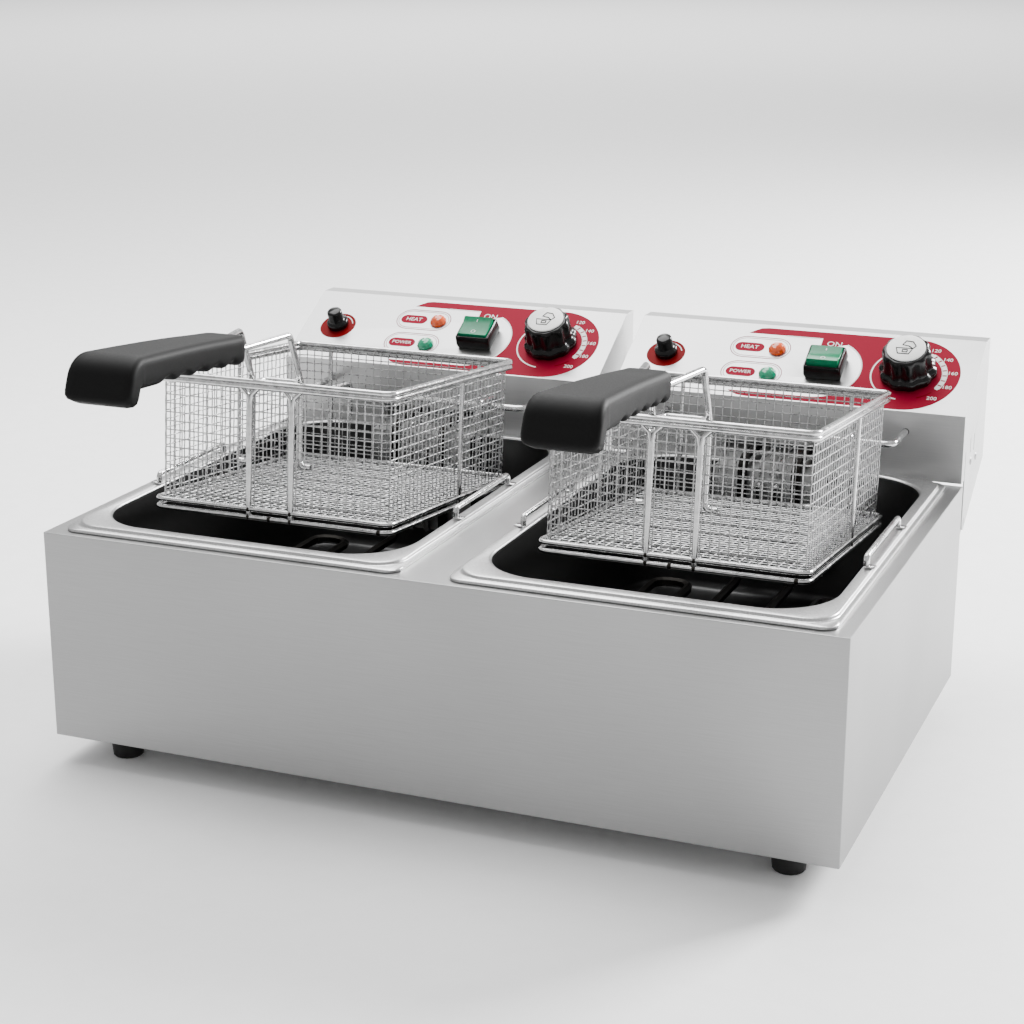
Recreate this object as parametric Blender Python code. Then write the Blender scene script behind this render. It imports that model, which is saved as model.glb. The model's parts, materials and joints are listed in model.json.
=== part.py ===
"""Double-tank countertop electric deep fryer.

Metres, +Z up. The housing stands on four rubber feet. Each of its two units has a lift-out oil tank, a control
head hinged behind the housing that carries the heating element, and a wire basket hung on the head's hanger.
The design frame has X across, Y from the housing's front face towards the back, and Z up from the table.
"""

import math

import bmesh
import bpy
from mathutils import Matrix, Vector

# Shared
SHEET = 0.0010
GAP = 0.0003
UNITS = {"left": -1, "right": 1}
CUT = 0.010

# Housing
BODY_WIDTH = 0.550
BODY_DEPTH = 0.346
BODY_HEIGHT = 0.146
FOOT_HEIGHT = 0.020
FOOT_TOP_RADIUS = 0.0125
FOOT_BASE_RADIUS = 0.0105
FOOT_BOSS_RADIUS = 0.005
FOOT_INSET_X = 0.038
FOOT_INSET_Y = 0.030
BASE_FLANGE = 0.012
DECK_Z = FOOT_HEIGHT + BODY_HEIGHT

# Control heads side by side: the gap between them and how far the outer sides stand in from the housing's
HEAD_GAP = 0.0145
HEAD_MARGIN = 0.00105
HEAD_WIDTH = (BODY_WIDTH - HEAD_GAP) / 2 - HEAD_MARGIN
HEAD_OVERHANG = 0.002
HEAD_FRONT = BODY_DEPTH - HEAD_OVERHANG
UNIT_OFFSET = (HEAD_WIDTH + HEAD_GAP) / 2

# Oil tank
RIM_WIDTH = HEAD_WIDTH - 0.0189
RIM_FRONT = 0.0065
RIM_REAR = HEAD_FRONT - 0.002
RIM_RADIUS = 0.010
RIM_HEIGHT = 0.005
MOUTH_WIDTH = RIM_WIDTH - 0.0218
MOUTH_FRONT = 0.020
MOUTH_REAR = RIM_REAR - 0.007
MOUTH_RADIUS = 0.045
TANK_DEPTH = 0.096
TANK_DRAFT = 0.008
TANK_CLEARANCE = 0.0015
RAIL_WIRE = 0.004
RAIL_FINGER_GAP = 0.005
RAIL_FRONT = 0.118
RAIL_LENGTH = 0.092

# Control head
HEAD_LIFT = 0.002
HEAD_FRONT_HEIGHT = 0.050
FACE_ANGLE = math.radians(29.8)
FACE_LENGTH = 0.0822
HEAD_TOP_DEPTH = 0.0155
HEAD_BOTTOM_Z = DECK_Z + HEAD_LIFT
FACE_Z = HEAD_BOTTOM_Z + HEAD_FRONT_HEIGHT
HEAD_TOP_Z = FACE_Z + FACE_LENGTH * math.sin(FACE_ANGLE)
HEAD_TOP_FRONT = HEAD_FRONT + FACE_LENGTH * math.cos(FACE_ANGLE)
HEAD_REAR = HEAD_TOP_FRONT + HEAD_TOP_DEPTH
COVER_FLANGE = 0.016

# Head hinge
PIVOT_BEHIND = 0.0165
PIVOT_BELOW = 0.0315
PIVOT_Y = BODY_DEPTH + PIVOT_BEHIND
PIVOT_Z = DECK_Z - PIVOT_BELOW
EAR_RADIUS = 0.006
PIN_RADIUS = 0.003
RAIL_SHEET = 0.002
RAIL_EAR_RADIUS = 0.007
RAIL_HALF_HEIGHT = 0.018
SIDE_PLAY = 0.0006
# Side plate relief and vents: distance behind the head's front, height above its lower edge, width, length.
SIDE_SLOTS = (
    (0.0112, -0.001, 0.0016, 0.0220),
    (0.0290, 0.0165, 0.0016, 0.0110),
    (0.0435, 0.0150, 0.0016, 0.0125),
)

# Heating element and its bracket
NOTCH_WIDTH = 0.090
NOTCH_TOP = 0.020
ELEMENT_RADIUS = 0.0035
ELEMENT_DROP = 0.078
ELEMENT_LANES = (0.020, 0.048, 0.076)
ELEMENT_BEND = 0.011
ELEMENT_FRONT = 0.048
ELEMENT_INNER_FRONT = 0.074
ELEMENT_INNER_REAR = MOUTH_REAR - 0.053
ENTRY_HEIGHT = 0.0145
LEG_BEHIND = 0.021
BRACKET_LEG_DROP = 0.070
BULB_RADIUS = 0.003
BULB_SPREAD = 0.0065
BULB_TOP_DROP = 0.004
CAPILLARY_RADIUS = 0.001

# Hanger on the head's front
HANGER_WIRE = 0.005
HANGER_HALF = 0.091
HANGER_REACH = 0.041
HANGER_Z = DECK_Z + 0.037

# Controls on the sloping face: distance from the head's left side, distance up the slope
KNOB_AT = (0.2173, 0.0392)
SWITCH_AT = (0.1558, 0.0385)
HEAT_LAMP_AT = (0.1145, 0.0543)
POWER_LAMP_AT = (0.1140, 0.0262)
RESET_AT = (0.0305, 0.0405)
SHAFT_RADIUS = 0.003
SHAFT_LENGTH = 0.013
KNOB_RADIUS = 0.0213
KNOB_HEIGHT = 0.0250
KNOB_FLUTES = 12
KNOB_LIFT = 0.0015
KNOB_CAP_RADIUS = 0.0142
BEZEL_WIDTH = 0.0288
BEZEL_LENGTH = 0.0262
BEZEL_HEIGHT = 0.0120
ROCKER_WIDTH = 0.0240
ROCKER_HALF_LENGTH = 0.0098
ROCKER_AXIS_HEIGHT = 0.0095
ROCKER_THROW = math.radians(8)
ROCKER_REST = {"left": 1, "right": -1}
LAMP_RADIUS = 0.0068
LAMP_BODY_RADIUS = 0.0045
BUSH_RADIUS = 0.004
BUTTON_RADIUS = 0.002
RESET_CAP_RADIUS = 0.0062
RESET_SKIRT_RADIUS = 0.0088

# Cable gland on the rear cover
GLAND_X = 0.090
GLAND_HEIGHT = 0.024
GLAND_RADIUS = 0.0062
GLAND_BORE = 0.0042

# Basket, in its own frame: origin at the middle of its lower front edge
BASKET_WIDTH = 0.182
BASKET_DEPTH = 0.2135
BASKET_HEIGHT = 0.0965
BASKET_TILT = math.radians(5.5)
BASKET_CORNER = 0.009
RIM_WIRE = 0.004
RING_WIRE = 0.0035
RING_STEP = 0.0075
BAR_WIRE = 0.003
MESH_WALL = 0.0014
WELD = 0.0005
FRONT_BAR_X = 0.016
SIDE_BAR_Y = 0.117
HOOK_X = 0.062
HOOK_WIRE = 0.004
HOOK_DROP = 0.026
HOOK_REACH = 0.246
HOOK_REST_Z = 0.0562
HANG_Y = {"left": 0.2320, "right": 0.2241}
KEEPER_HALF = 0.0135
KEEPER_REACH = 0.0145

# Basket handle, in the basket's frame
HANDLE_WIRE = 0.0045
HANDLE_X = 0.0185
HANDLE_HOOK = 0.0085
HANDLE_LOW_Z = 0.0387
HANDLE_CREST = (-0.0080, 0.1292)
GRIP_REAR = -0.057
GRIP_FRONT = -0.204
GRIP_TOP = 0.1362
GRIP_THICKNESS = 0.0205
GRIP_GUARD_BOTTOM = 0.0997
GRIP_REAR_HALF = 0.0150
GRIP_FRONT_HALF = 0.0225
GRIP_GROOVES = 5
GRIP_SOCKET = 0.022

STAINLESS = ("stainless steel", (0.72, 0.72, 0.73), 0.32, 1.0)
BRIGHT_WIRE = ("bright stainless wire", (0.80, 0.80, 0.81), 0.18, 1.0)
DARK_STEEL = ("dark tank steel", (0.16, 0.16, 0.17), 0.35, 0.8)
ZINC = ("zinc plated steel", (0.62, 0.62, 0.64), 0.4, 1.0)
BLACK_PLASTIC = ("black plastic", (0.02, 0.02, 0.02), 0.35, 0.0)
CHARCOAL = ("charcoal phenolic", (0.05, 0.05, 0.05), 0.55, 0.0)
RUBBER = ("black rubber", (0.02, 0.02, 0.02), 0.8, 0.0)
WHITE_PLASTIC = ("white plastic", (0.86, 0.86, 0.85), 0.4, 0.0)
GREEN_LENS = ("green plastic", (0.01, 0.36, 0.17), 0.25, 0.0)
AMBER_LENS = ("amber plastic", (0.90, 0.18, 0.03), 0.25, 0.0)


def clear_scene():
    for obj in list(bpy.data.objects):
        bpy.data.objects.remove(obj, do_unlink=True)


def finish_material(finish):
    name, colour, roughness, metallic = finish
    material = bpy.data.materials.get(name) or bpy.data.materials.new(name)
    material.use_nodes = True
    shader = material.node_tree.nodes["Principled BSDF"]
    shader.inputs["Base Color"].default_value = (*colour, 1.0)
    shader.inputs["Roughness"].default_value = roughness
    shader.inputs["Metallic"].default_value = metallic
    return material


def add_empty(name, parent=None, location=(0, 0, 0), rotation=(0, 0, 0)):
    empty = bpy.data.objects.new(name, None)
    bpy.context.scene.collection.objects.link(empty)
    empty.empty_display_size = 0.02
    empty.parent = parent
    empty.location = location
    empty.rotation_euler = rotation
    return empty


def add_solid(name, shape, finish, parent, location=(0, 0, 0), smooth=True):
    """Turns a bmesh of closed bodies into an object with its own material."""
    bmesh.ops.remove_doubles(shape, verts=shape.verts, dist=1e-6)
    bmesh.ops.recalc_face_normals(shape, faces=shape.faces)
    mesh = bpy.data.meshes.new(name)
    shape.to_mesh(mesh)
    shape.free()
    if smooth:
        mesh.shade_smooth()
        mesh.set_sharp_from_angle(angle=math.radians(35))
    solid = bpy.data.objects.new(name, mesh)
    bpy.context.scene.collection.objects.link(solid)
    if finish:
        mesh.materials.append(finish_material(finish))
    solid.parent = parent
    solid.location = location
    return solid


def cut_with(solid, shape, operation="DIFFERENCE", parent=None, location=None):
    """Cuts a solid with closed bodies given in the solid's frame, or in that of another parent."""
    name = f"{solid.name}_cutter_{len(solid.modifiers)}"
    place = solid.location if location is None else location
    tool = add_solid(name, shape, None, parent or solid.parent, place, False)
    tool.hide_render = True
    tool.display_type = "WIRE"
    modifier = solid.modifiers.new(name, "BOOLEAN")
    modifier.operation = operation
    modifier.solver = "EXACT"
    modifier.object = tool


def add_box(shape, low, high):
    low, high = Vector(low), Vector(high)
    size = Matrix.Diagonal((*(high - low), 1.0))
    bmesh.ops.create_cube(shape, size=1.0, matrix=Matrix.Translation((low + high) / 2) @ size)


def add_rod(shape, radius, start, end, sides=16):
    start, end = Vector(start), Vector(end)
    turn = (end - start).to_track_quat("Z", "Y").to_matrix().to_4x4()
    place = Matrix.Translation((start + end) / 2) @ turn
    bmesh.ops.create_cone(
        shape, cap_ends=True, segments=sides, radius1=radius, radius2=radius, depth=(end - start).length, matrix=place
    )


def add_prism(shape, outline, low_x, high_x):
    """Extrudes an outline of (y, z) points along X."""
    base = [shape.verts.new((low_x, y, z)) for y, z in outline]
    face = shape.faces.new(base)
    grown = bmesh.ops.extrude_face_region(shape, geom=[face])
    moved = [item for item in grown["geom"] if isinstance(item, bmesh.types.BMVert)]
    bmesh.ops.translate(shape, verts=moved, vec=(high_x - low_x, 0, 0))


def arc(centre, radius, start, end, steps):
    """Points on an arc, with its angles in degrees."""
    angles = [math.radians(start + (end - start) * i / steps) for i in range(steps + 1)]
    return [(centre[0] + radius * math.cos(a), centre[1] + radius * math.sin(a)) for a in angles]


def rounded_rectangle(low, high, radius, steps=5):
    """Anticlockwise outline of a rectangle whose corners are arcs."""
    x0, y0, x1, y1 = *low, *high
    corners = ((x1 - radius, y1 - radius), (x0 + radius, y1 - radius))
    corners += ((x0 + radius, y0 + radius), (x1 - radius, y0 + radius))
    points = []
    for quarter, centre in enumerate(corners):
        points += arc(centre, radius, 90 * quarter, 90 * quarter + 90, steps)
    return points


def loft(shape, rings, closed=False):
    """Joins rings of equally many points into one closed skin, capped unless it closes on itself."""
    loops = [[shape.verts.new(point) for point in ring] for ring in rings]
    pairs = list(zip(loops, loops[1:])) + ([(loops[-1], loops[0])] if closed else [])
    for lower, upper in pairs:
        for i in range(len(lower)):
            j = (i + 1) % len(lower)
            shape.faces.new((lower[i], lower[j], upper[j], upper[i]))
    if not closed:
        shape.faces.new(reversed(loops[0]))
        shape.faces.new(loops[-1])


def stack(shape, sections, steps=4, closed=False, centre=(0, 0)):
    """Lofts sections up Z: (width, depth, corner radius, z), round where the radius is half the width."""
    rings = []
    for width, depth, radius, z in sections:
        low = (centre[0] - width / 2, centre[1] - depth / 2)
        high = (centre[0] + width / 2, centre[1] + depth / 2)
        rings.append([(x, y, z) for x, y in rounded_rectangle(low, high, radius, steps)])
    loft(shape, rings, closed)


def turn_profile(shape, profile, steps=4, closed=False, centre=(0, 0)):
    """Turns a profile of (radius, z) about Z."""
    stack(shape, [(2 * r, 2 * r, r, z) for r, z in profile], steps, closed, centre)


def fillet_path(points, radius, steps, closed=False):
    """Rounds the corners of a path of straight runs."""
    points = [Vector(p) for p in points]
    count = len(points)
    path = []
    for i, corner in enumerate(points):
        if not closed and i in (0, count - 1):
            path.append(corner)
            continue
        before = (points[i - 1] - corner).normalized()
        after = (points[(i + 1) % count] - corner).normalized()
        half = before.angle(after) / 2
        reach = radius / math.tan(half)
        middle = corner + (before + after).normalized() * (radius / math.sin(half))
        first = corner + before * reach - middle
        last = corner + after * reach - middle
        sweep = first.angle(last)
        for k in range(steps + 1):
            share = k / steps
            mixed = first * math.sin((1 - share) * sweep) + last * math.sin(share * sweep)
            path.append(middle + mixed / math.sin(sweep))
    return path


def add_wire(shape, path, radius, sides=6, closed=False):
    """Sweeps a round section along a path; the radius is one number or one for each point."""
    path = [Vector(p) for p in path]
    radii = radius if isinstance(radius, list) else [radius] * len(path)
    count = len(path)
    rings = []
    side = None
    for i, point in enumerate(path):
        ahead = path[(i + 1) % count] if closed or i < count - 1 else point
        behind = path[i - 1] if closed or i > 0 else point
        along = (ahead - point).normalized() + (point - behind).normalized()
        along.normalize()
        side = along.orthogonal() if side is None else side - along * side.dot(along)
        side.normalize()
        across = along.cross(side)
        angles = [2 * math.pi * k / sides for k in range(sides)]
        rings.append([point + (side * math.cos(a) + across * math.sin(a)) * radii[i] for a in angles])
    loft(shape, rings, closed)


def fold_sheet(points, thickness):
    """Outline of a folded sheet: a path of (y, z) points, thickened on its left side."""
    points = [Vector(p) for p in points]
    offset = []
    for i, point in enumerate(points):
        before = (point - points[i - 1]).normalized() if i else None
        after = (points[i + 1] - point).normalized() if i < len(points) - 1 else None
        before, after = before or after, after or before
        left_before = Vector((-before.y, before.x))
        left_after = Vector((-after.y, after.x))
        mitre = (left_before + left_after).normalized()
        offset.append(point + mitre * thickness / mitre.dot(left_before))
    return [tuple(p) for p in points] + [tuple(p) for p in reversed(offset)]


def mouth_outline(share, z):
    """A ring between the tank's mouth, at share 0, and the outer edge of its rim, at share 1."""
    half = (MOUTH_WIDTH + share * (RIM_WIDTH - MOUTH_WIDTH)) / 2
    front = MOUTH_FRONT + share * (RIM_FRONT - MOUTH_FRONT)
    rear = MOUTH_REAR + share * (RIM_REAR - MOUTH_REAR)
    radius = MOUTH_RADIUS + share * (RIM_RADIUS - MOUTH_RADIUS)
    return [(x, y, z) for x, y in rounded_rectangle((-half, front), (half, rear), radius)]


def wall_outline(inset, z):
    """A ring of the tank's wall, drawn in from the mouth."""
    half = MOUTH_WIDTH / 2 - inset
    front, rear = MOUTH_FRONT + inset, MOUTH_REAR - inset
    outline = rounded_rectangle((-half, front), (half, rear), MOUTH_RADIUS - inset)
    return [(x, y, z) for x, y in outline]


def housing_shell(root):
    shape = bmesh.new()
    half = BODY_WIDTH / 2
    add_box(shape, (-half, 0, FOOT_HEIGHT), (half, BODY_DEPTH, DECK_Z))
    shell = add_solid("housing_shell", shape, STAINLESS, root, smooth=False)
    shape = bmesh.new()
    inner = (half - SHEET, BODY_DEPTH - SHEET, DECK_Z - SHEET)
    add_box(shape, (-inner[0], SHEET, FOOT_HEIGHT - CUT), inner)
    cut_with(shell, shape)
    shape = bmesh.new()
    for side in UNITS.values():
        outline = wall_outline(-SHEET - TANK_CLEARANCE, 0)
        rings = [[(x + side * UNIT_OFFSET, y, z) for x, y, _ in outline] for z in (DECK_Z - CUT, DECK_Z + CUT)]
        loft(shape, rings)
    cut_with(shell, shape)


def base_plate(root):
    shape = bmesh.new()
    play = SHEET + GAP
    half = BODY_WIDTH / 2 - play
    add_box(shape, (-half, play, FOOT_HEIGHT), (half, BODY_DEPTH - play, FOOT_HEIGHT + BASE_FLANGE))
    plate = add_solid("base_plate", shape, ZINC, root, smooth=False)
    shape = bmesh.new()
    inner = half - SHEET
    top = FOOT_HEIGHT + BASE_FLANGE + CUT
    add_box(shape, (-inner, play + SHEET, FOOT_HEIGHT + SHEET), (inner, BODY_DEPTH - play - SHEET, top))
    cut_with(plate, shape)
    shape = bmesh.new()
    for x, y in foot_places().values():
        add_rod(shape, FOOT_BOSS_RADIUS + GAP, (x, y, FOOT_HEIGHT - CUT), (x, y, FOOT_HEIGHT + CUT))
    cut_with(plate, shape)


def foot_places():
    x = BODY_WIDTH / 2 - FOOT_INSET_X
    return {
        "foot_front_left": (-x, FOOT_INSET_Y),
        "foot_front_right": (x, FOOT_INSET_Y),
        "foot_rear_left": (-x, BODY_DEPTH - FOOT_INSET_Y),
        "foot_rear_right": (x, BODY_DEPTH - FOOT_INSET_Y),
    }


def feet(root):
    top = FOOT_HEIGHT - GAP
    chamfer = 0.001
    profile = (
        (FOOT_BASE_RADIUS - chamfer, 0),
        (FOOT_BASE_RADIUS, chamfer),
        (FOOT_TOP_RADIUS, top - 2 * chamfer),
        (FOOT_TOP_RADIUS, top),
        (FOOT_BOSS_RADIUS, top),
        (FOOT_BOSS_RADIUS, FOOT_HEIGHT + 3 * SHEET),
    )
    for name, place in foot_places().items():
        shape = bmesh.new()
        turn_profile(shape, profile, centre=place)
        add_solid(name, shape, RUBBER, root)


def rail_ear_x():
    """Outer face of the hinge rail's ears, from the middle of their unit."""
    return HEAD_WIDTH / 2 - SHEET - SIDE_PLAY


def hinge_rail(root):
    """A folded strip along the housing's back with an ear inside each side of both heads."""
    wall = BODY_DEPTH + GAP
    foot = wall + RAIL_SHEET
    tip = PIVOT_Y + RAIL_EAR_RADIUS + CUT
    outline = [(rail_ear_x() + UNIT_OFFSET, wall), (-rail_ear_x() - UNIT_OFFSET, wall)]
    for unit in UNITS.values():
        for start in (-rail_ear_x(), rail_ear_x() - RAIL_SHEET):
            x = unit * UNIT_OFFSET + start
            outline += [(x, foot), (x, tip), (x + RAIL_SHEET, tip), (x + RAIL_SHEET, foot)]
    shape = bmesh.new()
    levels = (PIVOT_Z - RAIL_HALF_HEIGHT, PIVOT_Z + RAIL_HALF_HEIGHT)
    loft(shape, [[(x, y, z) for x, y in outline] for z in levels])
    rail = add_solid("hinge_rail", shape, ZINC, root, smooth=False)
    shape = bmesh.new()
    half = RAIL_HALF_HEIGHT + GAP
    edge = foot + GAP
    outline = [(wall - CUT, PIVOT_Z - half), (edge, PIVOT_Z - half)]
    outline += arc((PIVOT_Y, PIVOT_Z), RAIL_EAR_RADIUS, -60, 60, 8)
    outline += [(edge, PIVOT_Z + half), (wall - CUT, PIVOT_Z + half)]
    add_prism(shape, outline, -BODY_WIDTH, BODY_WIDTH)
    cut_with(rail, shape, "INTERSECT")
    shape = bmesh.new()
    add_rod(shape, PIN_RADIUS + GAP, (-BODY_WIDTH, PIVOT_Y, PIVOT_Z), (BODY_WIDTH, PIVOT_Y, PIVOT_Z))
    cut_with(rail, shape)


def oil_tank(side, unit):
    floor = DECK_Z - TANK_DEPTH
    top = DECK_Z + RIM_HEIGHT
    seat = DECK_Z + GAP
    fillet = 0.006
    rings = [
        wall_outline(TANK_DRAFT + fillet - SHEET, floor - SHEET),
        wall_outline(TANK_DRAFT - SHEET, floor + fillet - SHEET),
        wall_outline(-SHEET, seat),
        mouth_outline(1.00, seat),
        mouth_outline(1.00, top - 0.0028),
        mouth_outline(0.78, top - 0.0022),
        mouth_outline(0.72, top - 0.0003),
        mouth_outline(0.66, top),
        mouth_outline(0.08, top - 0.0003),
        mouth_outline(0.00, top - 0.0014),
        wall_outline(TANK_DRAFT, floor + fillet),
        wall_outline(TANK_DRAFT + fillet, floor),
    ]
    shape = bmesh.new()
    loft(shape, rings)
    add_solid(f"oil_tank_{side}", shape, DARK_STEEL, unit)


def lift_rails(side, unit):
    """Two wire rails on the flanges, by which the tank is lifted out."""
    radius = RAIL_WIRE / 2
    x = MOUTH_WIDTH / 2 + radius + 0.001
    foot = DECK_Z + RIM_HEIGHT + GAP
    top = foot + RAIL_FINGER_GAP + radius
    for edge, hand in (("a", -1), ("b", 1)):
        corners = [(hand * x, y, z) for y, z in ((RAIL_FRONT, foot), (RAIL_FRONT, top))]
        corners += [(hand * x, RAIL_FRONT + RAIL_LENGTH, z) for z in (top, foot)]
        shape = bmesh.new()
        add_wire(shape, fillet_path(corners, RAIL_WIRE, 3), radius, 8)
        add_solid(f"lift_rail_{side}_{edge}", shape, BRIGHT_WIRE, unit)


def casing_outline():
    outline = [(HEAD_FRONT, HEAD_BOTTOM_Z), (HEAD_FRONT, FACE_Z)]
    outline += [(HEAD_TOP_FRONT, HEAD_TOP_Z), (HEAD_REAR, HEAD_TOP_Z)]
    outline += [(HEAD_REAR, HEAD_BOTTOM_Z)]
    outline += arc((PIVOT_Y, PIVOT_Z), EAR_RADIUS, -30, -180, 8)
    outline += [(PIVOT_Y - EAR_RADIUS, HEAD_BOTTOM_Z)]
    return outline


def casing_void():
    """The space inside the casing's front, face and top, open to the back and below."""
    sine, cosine = math.sin(FACE_ANGLE), math.cos(FACE_ANGLE)
    front = HEAD_FRONT + SHEET
    roof = HEAD_TOP_Z - SHEET
    run = SHEET * (1 - sine) / cosine
    climb = (roof - FACE_Z + SHEET * cosine) / sine
    below = PIVOT_Z - 2 * CUT
    outline = [(front, below), (front, FACE_Z - SHEET * cosine + run * sine)]
    outline += [(HEAD_FRONT + SHEET * sine + climb * cosine, roof)]
    outline += [(HEAD_REAR + CUT, roof), (HEAD_REAR + CUT, below)]
    return outline


def control_casing(side, hinge, face):
    half = HEAD_WIDTH / 2
    shape = bmesh.new()
    add_prism(shape, casing_outline(), -half, half)
    casing = add_solid(f"control_casing_{side}", shape, STAINLESS, hinge, head_shift(), smooth=False)
    shape = bmesh.new()
    add_prism(shape, casing_void(), SHEET - half, half - SHEET)
    cut_with(casing, shape)
    shape = bmesh.new()
    beyond = half + CUT
    for behind, above, width, length in SIDE_SLOTS:
        y, z = HEAD_FRONT + behind, HEAD_BOTTOM_Z + above
        add_box(shape, (-beyond, y - width / 2, z), (beyond, y + width / 2, z + length))
    add_rod(shape, PIN_RADIUS + GAP, (-beyond, PIVOT_Y, PIVOT_Z), (beyond, PIVOT_Y, PIVOT_Z))
    notch = NOTCH_WIDTH / 2
    top = (notch, HEAD_FRONT + 2 * SHEET, DECK_Z + NOTCH_TOP)
    add_box(shape, (-notch, HEAD_FRONT - CUT, HEAD_BOTTOM_Z - CUT), top)
    for x in (-HANGER_HALF, HANGER_HALF):
        start, end = (x, HEAD_FRONT - CUT, HANGER_Z), (x, HEAD_FRONT + 2 * SHEET, HANGER_Z)
        add_rod(shape, HANGER_WIRE / 2 + GAP, start, end, 12)
    cut_with(casing, shape)
    shape = bmesh.new()
    depth = 3 * SHEET
    for place, radius in ((KNOB_AT, SHAFT_RADIUS), (RESET_AT, BUSH_RADIUS)):
        x, v = face_place(place)
        add_rod(shape, radius + GAP, (x, v, -depth), (x, v, depth))
    for place in (HEAT_LAMP_AT, POWER_LAMP_AT):
        x, v = face_place(place)
        add_rod(shape, LAMP_BODY_RADIUS + GAP, (x, v, -depth), (x, v, depth))
    x, v = face_place(SWITCH_AT)
    wide, tall = switch_hole()
    add_box(shape, (x - wide / 2, v - tall / 2, -depth), (x + wide / 2, v + tall / 2, depth))
    cut_with(casing, shape, parent=face, location=(0, 0, 0))


def head_shift():
    """Places a mesh drawn in the unit's frame under the head's hinge."""
    return (0, -PIVOT_Y, -PIVOT_Z)


def face_place(place):
    return place[0] - HEAD_WIDTH / 2, place[1]


def switch_hole():
    return BEZEL_WIDTH - 0.003, BEZEL_LENGTH - 0.003


def rear_cover(side, hinge):
    half = HEAD_WIDTH / 2 - SHEET - GAP
    front = HEAD_FRONT + SHEET + GAP
    top = HEAD_TOP_Z - SHEET - GAP
    shape = bmesh.new()
    add_box(shape, (-half, front, HEAD_BOTTOM_Z), (half, HEAD_REAR, top))
    cover = add_solid(f"rear_cover_{side}", shape, STAINLESS, hinge, head_shift(), smooth=False)
    shape = bmesh.new()
    inner = half - SHEET
    back = HEAD_REAR - SHEET
    add_box(shape, (-inner, front - CUT, HEAD_BOTTOM_Z + SHEET), (inner, back, top + CUT))
    cut_with(cover, shape)
    shape = bmesh.new()
    add_box(shape, (-half - CUT, front - CUT, HEAD_BOTTOM_Z + COVER_FLANGE), (half + CUT, back, top + CUT))
    cut_with(cover, shape)
    shape = bmesh.new()
    for i in range(7):
        x = -0.075 + 0.015 * i
        low = HEAD_BOTTOM_Z + 0.040
        add_box(shape, (x - 0.0018, back - CUT, low), (x + 0.0018, HEAD_REAR + CUT, low + 0.034))
    z = HEAD_BOTTOM_Z + GLAND_HEIGHT
    add_rod(shape, GLAND_RADIUS + GAP, (GLAND_X, back - CUT, z), (GLAND_X, HEAD_REAR + CUT, z))
    cut_with(cover, shape)


def hanger(side, hinge):
    inside = HEAD_FRONT + SHEET + 0.005
    bar = HEAD_FRONT - HANGER_REACH
    corners = [(-HANGER_HALF, inside, HANGER_Z), (-HANGER_HALF, bar, HANGER_Z)]
    corners += [(HANGER_HALF, bar, HANGER_Z), (HANGER_HALF, inside, HANGER_Z)]
    shape = bmesh.new()
    add_wire(shape, fillet_path(corners, 0.007, 4), HANGER_WIRE / 2, 8)
    add_solid(f"basket_hanger_{side}", shape, BRIGHT_WIRE, hinge, head_shift())


def leg_y():
    """The rear face of the element bracket's leg, clear of the tank's rim as the head tilts."""
    rim = Vector((MOUTH_REAR - PIVOT_Y, DECK_Z + RIM_HEIGHT - PIVOT_Z)).length
    return min(PIVOT_Y - rim - 2 * SHEET, MOUTH_REAR - LEG_BEHIND)


def element_bracket(side, hinge):
    """Folded plate over the tank's rear rim that carries the element and shields its risers."""
    low = HEAD_BOTTOM_Z + 2 * SHEET + GAP
    bridge = DECK_Z + RIM_HEIGHT + 2 * SHEET
    path = [(HEAD_FRONT + 0.032, low), (HEAD_FRONT + 0.010, low)]
    path += [(HEAD_FRONT + 0.006, bridge), (leg_y() - SHEET, bridge)]
    path += [(leg_y() - SHEET, DECK_Z - BRACKET_LEG_DROP)]
    path = path[::-1]
    shape = bmesh.new()
    half = NOTCH_WIDTH / 2 - 0.003
    add_prism(shape, fold_sheet(path, -SHEET), -half, half)
    add_solid(f"element_bracket_{side}", shape, STAINLESS, hinge, head_shift(), smooth=False)


def riser_y():
    return leg_y() - SHEET - ELEMENT_RADIUS - 0.001


def heating_element(side, hinge):
    """One tube: down from the head, two folded loops on each side, and back up."""
    low = DECK_Z - ELEMENT_DROP
    entry = DECK_Z + ENTRY_HEIGHT
    inner, middle, outer = ELEMENT_LANES
    half = [(inner, HEAD_FRONT + 0.022, entry), (inner, riser_y(), entry), (inner, riser_y(), low)]
    half += [(inner, ELEMENT_INNER_FRONT, low), (middle, ELEMENT_INNER_FRONT, low)]
    half += [(middle, ELEMENT_INNER_REAR, low)]
    half += [(outer, ELEMENT_INNER_REAR, low), (outer, ELEMENT_FRONT, low)]
    other = [(-x, y, z) for x, y, z in reversed(half)]
    shape = bmesh.new()
    add_wire(shape, fillet_path(half + other, ELEMENT_BEND, 3), ELEMENT_RADIUS, 6)
    add_solid(f"heating_element_{side}", shape, DARK_STEEL, hinge, head_shift())


def sensor_bulb(name, x, hinge):
    """A bulb behind the element's risers, with its capillary over the rim into the head."""
    entry = DECK_Z + ENTRY_HEIGHT
    top = DECK_Z - BULB_TOP_DROP
    bulb = [(x, riser_y(), DECK_Z - BRACKET_LEG_DROP), (x, riser_y(), top)]
    corners = [(x, riser_y(), top + 0.002), (x, riser_y(), entry), (x, HEAD_FRONT + 0.020, entry)]
    capillary = fillet_path(corners, 0.005, 3)
    radii = [BULB_RADIUS] * len(bulb) + [CAPILLARY_RADIUS] * len(capillary)
    shape = bmesh.new()
    add_wire(shape, bulb + capillary, radii, 8)
    add_solid(name, shape, BRIGHT_WIRE, hinge, head_shift())


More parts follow.
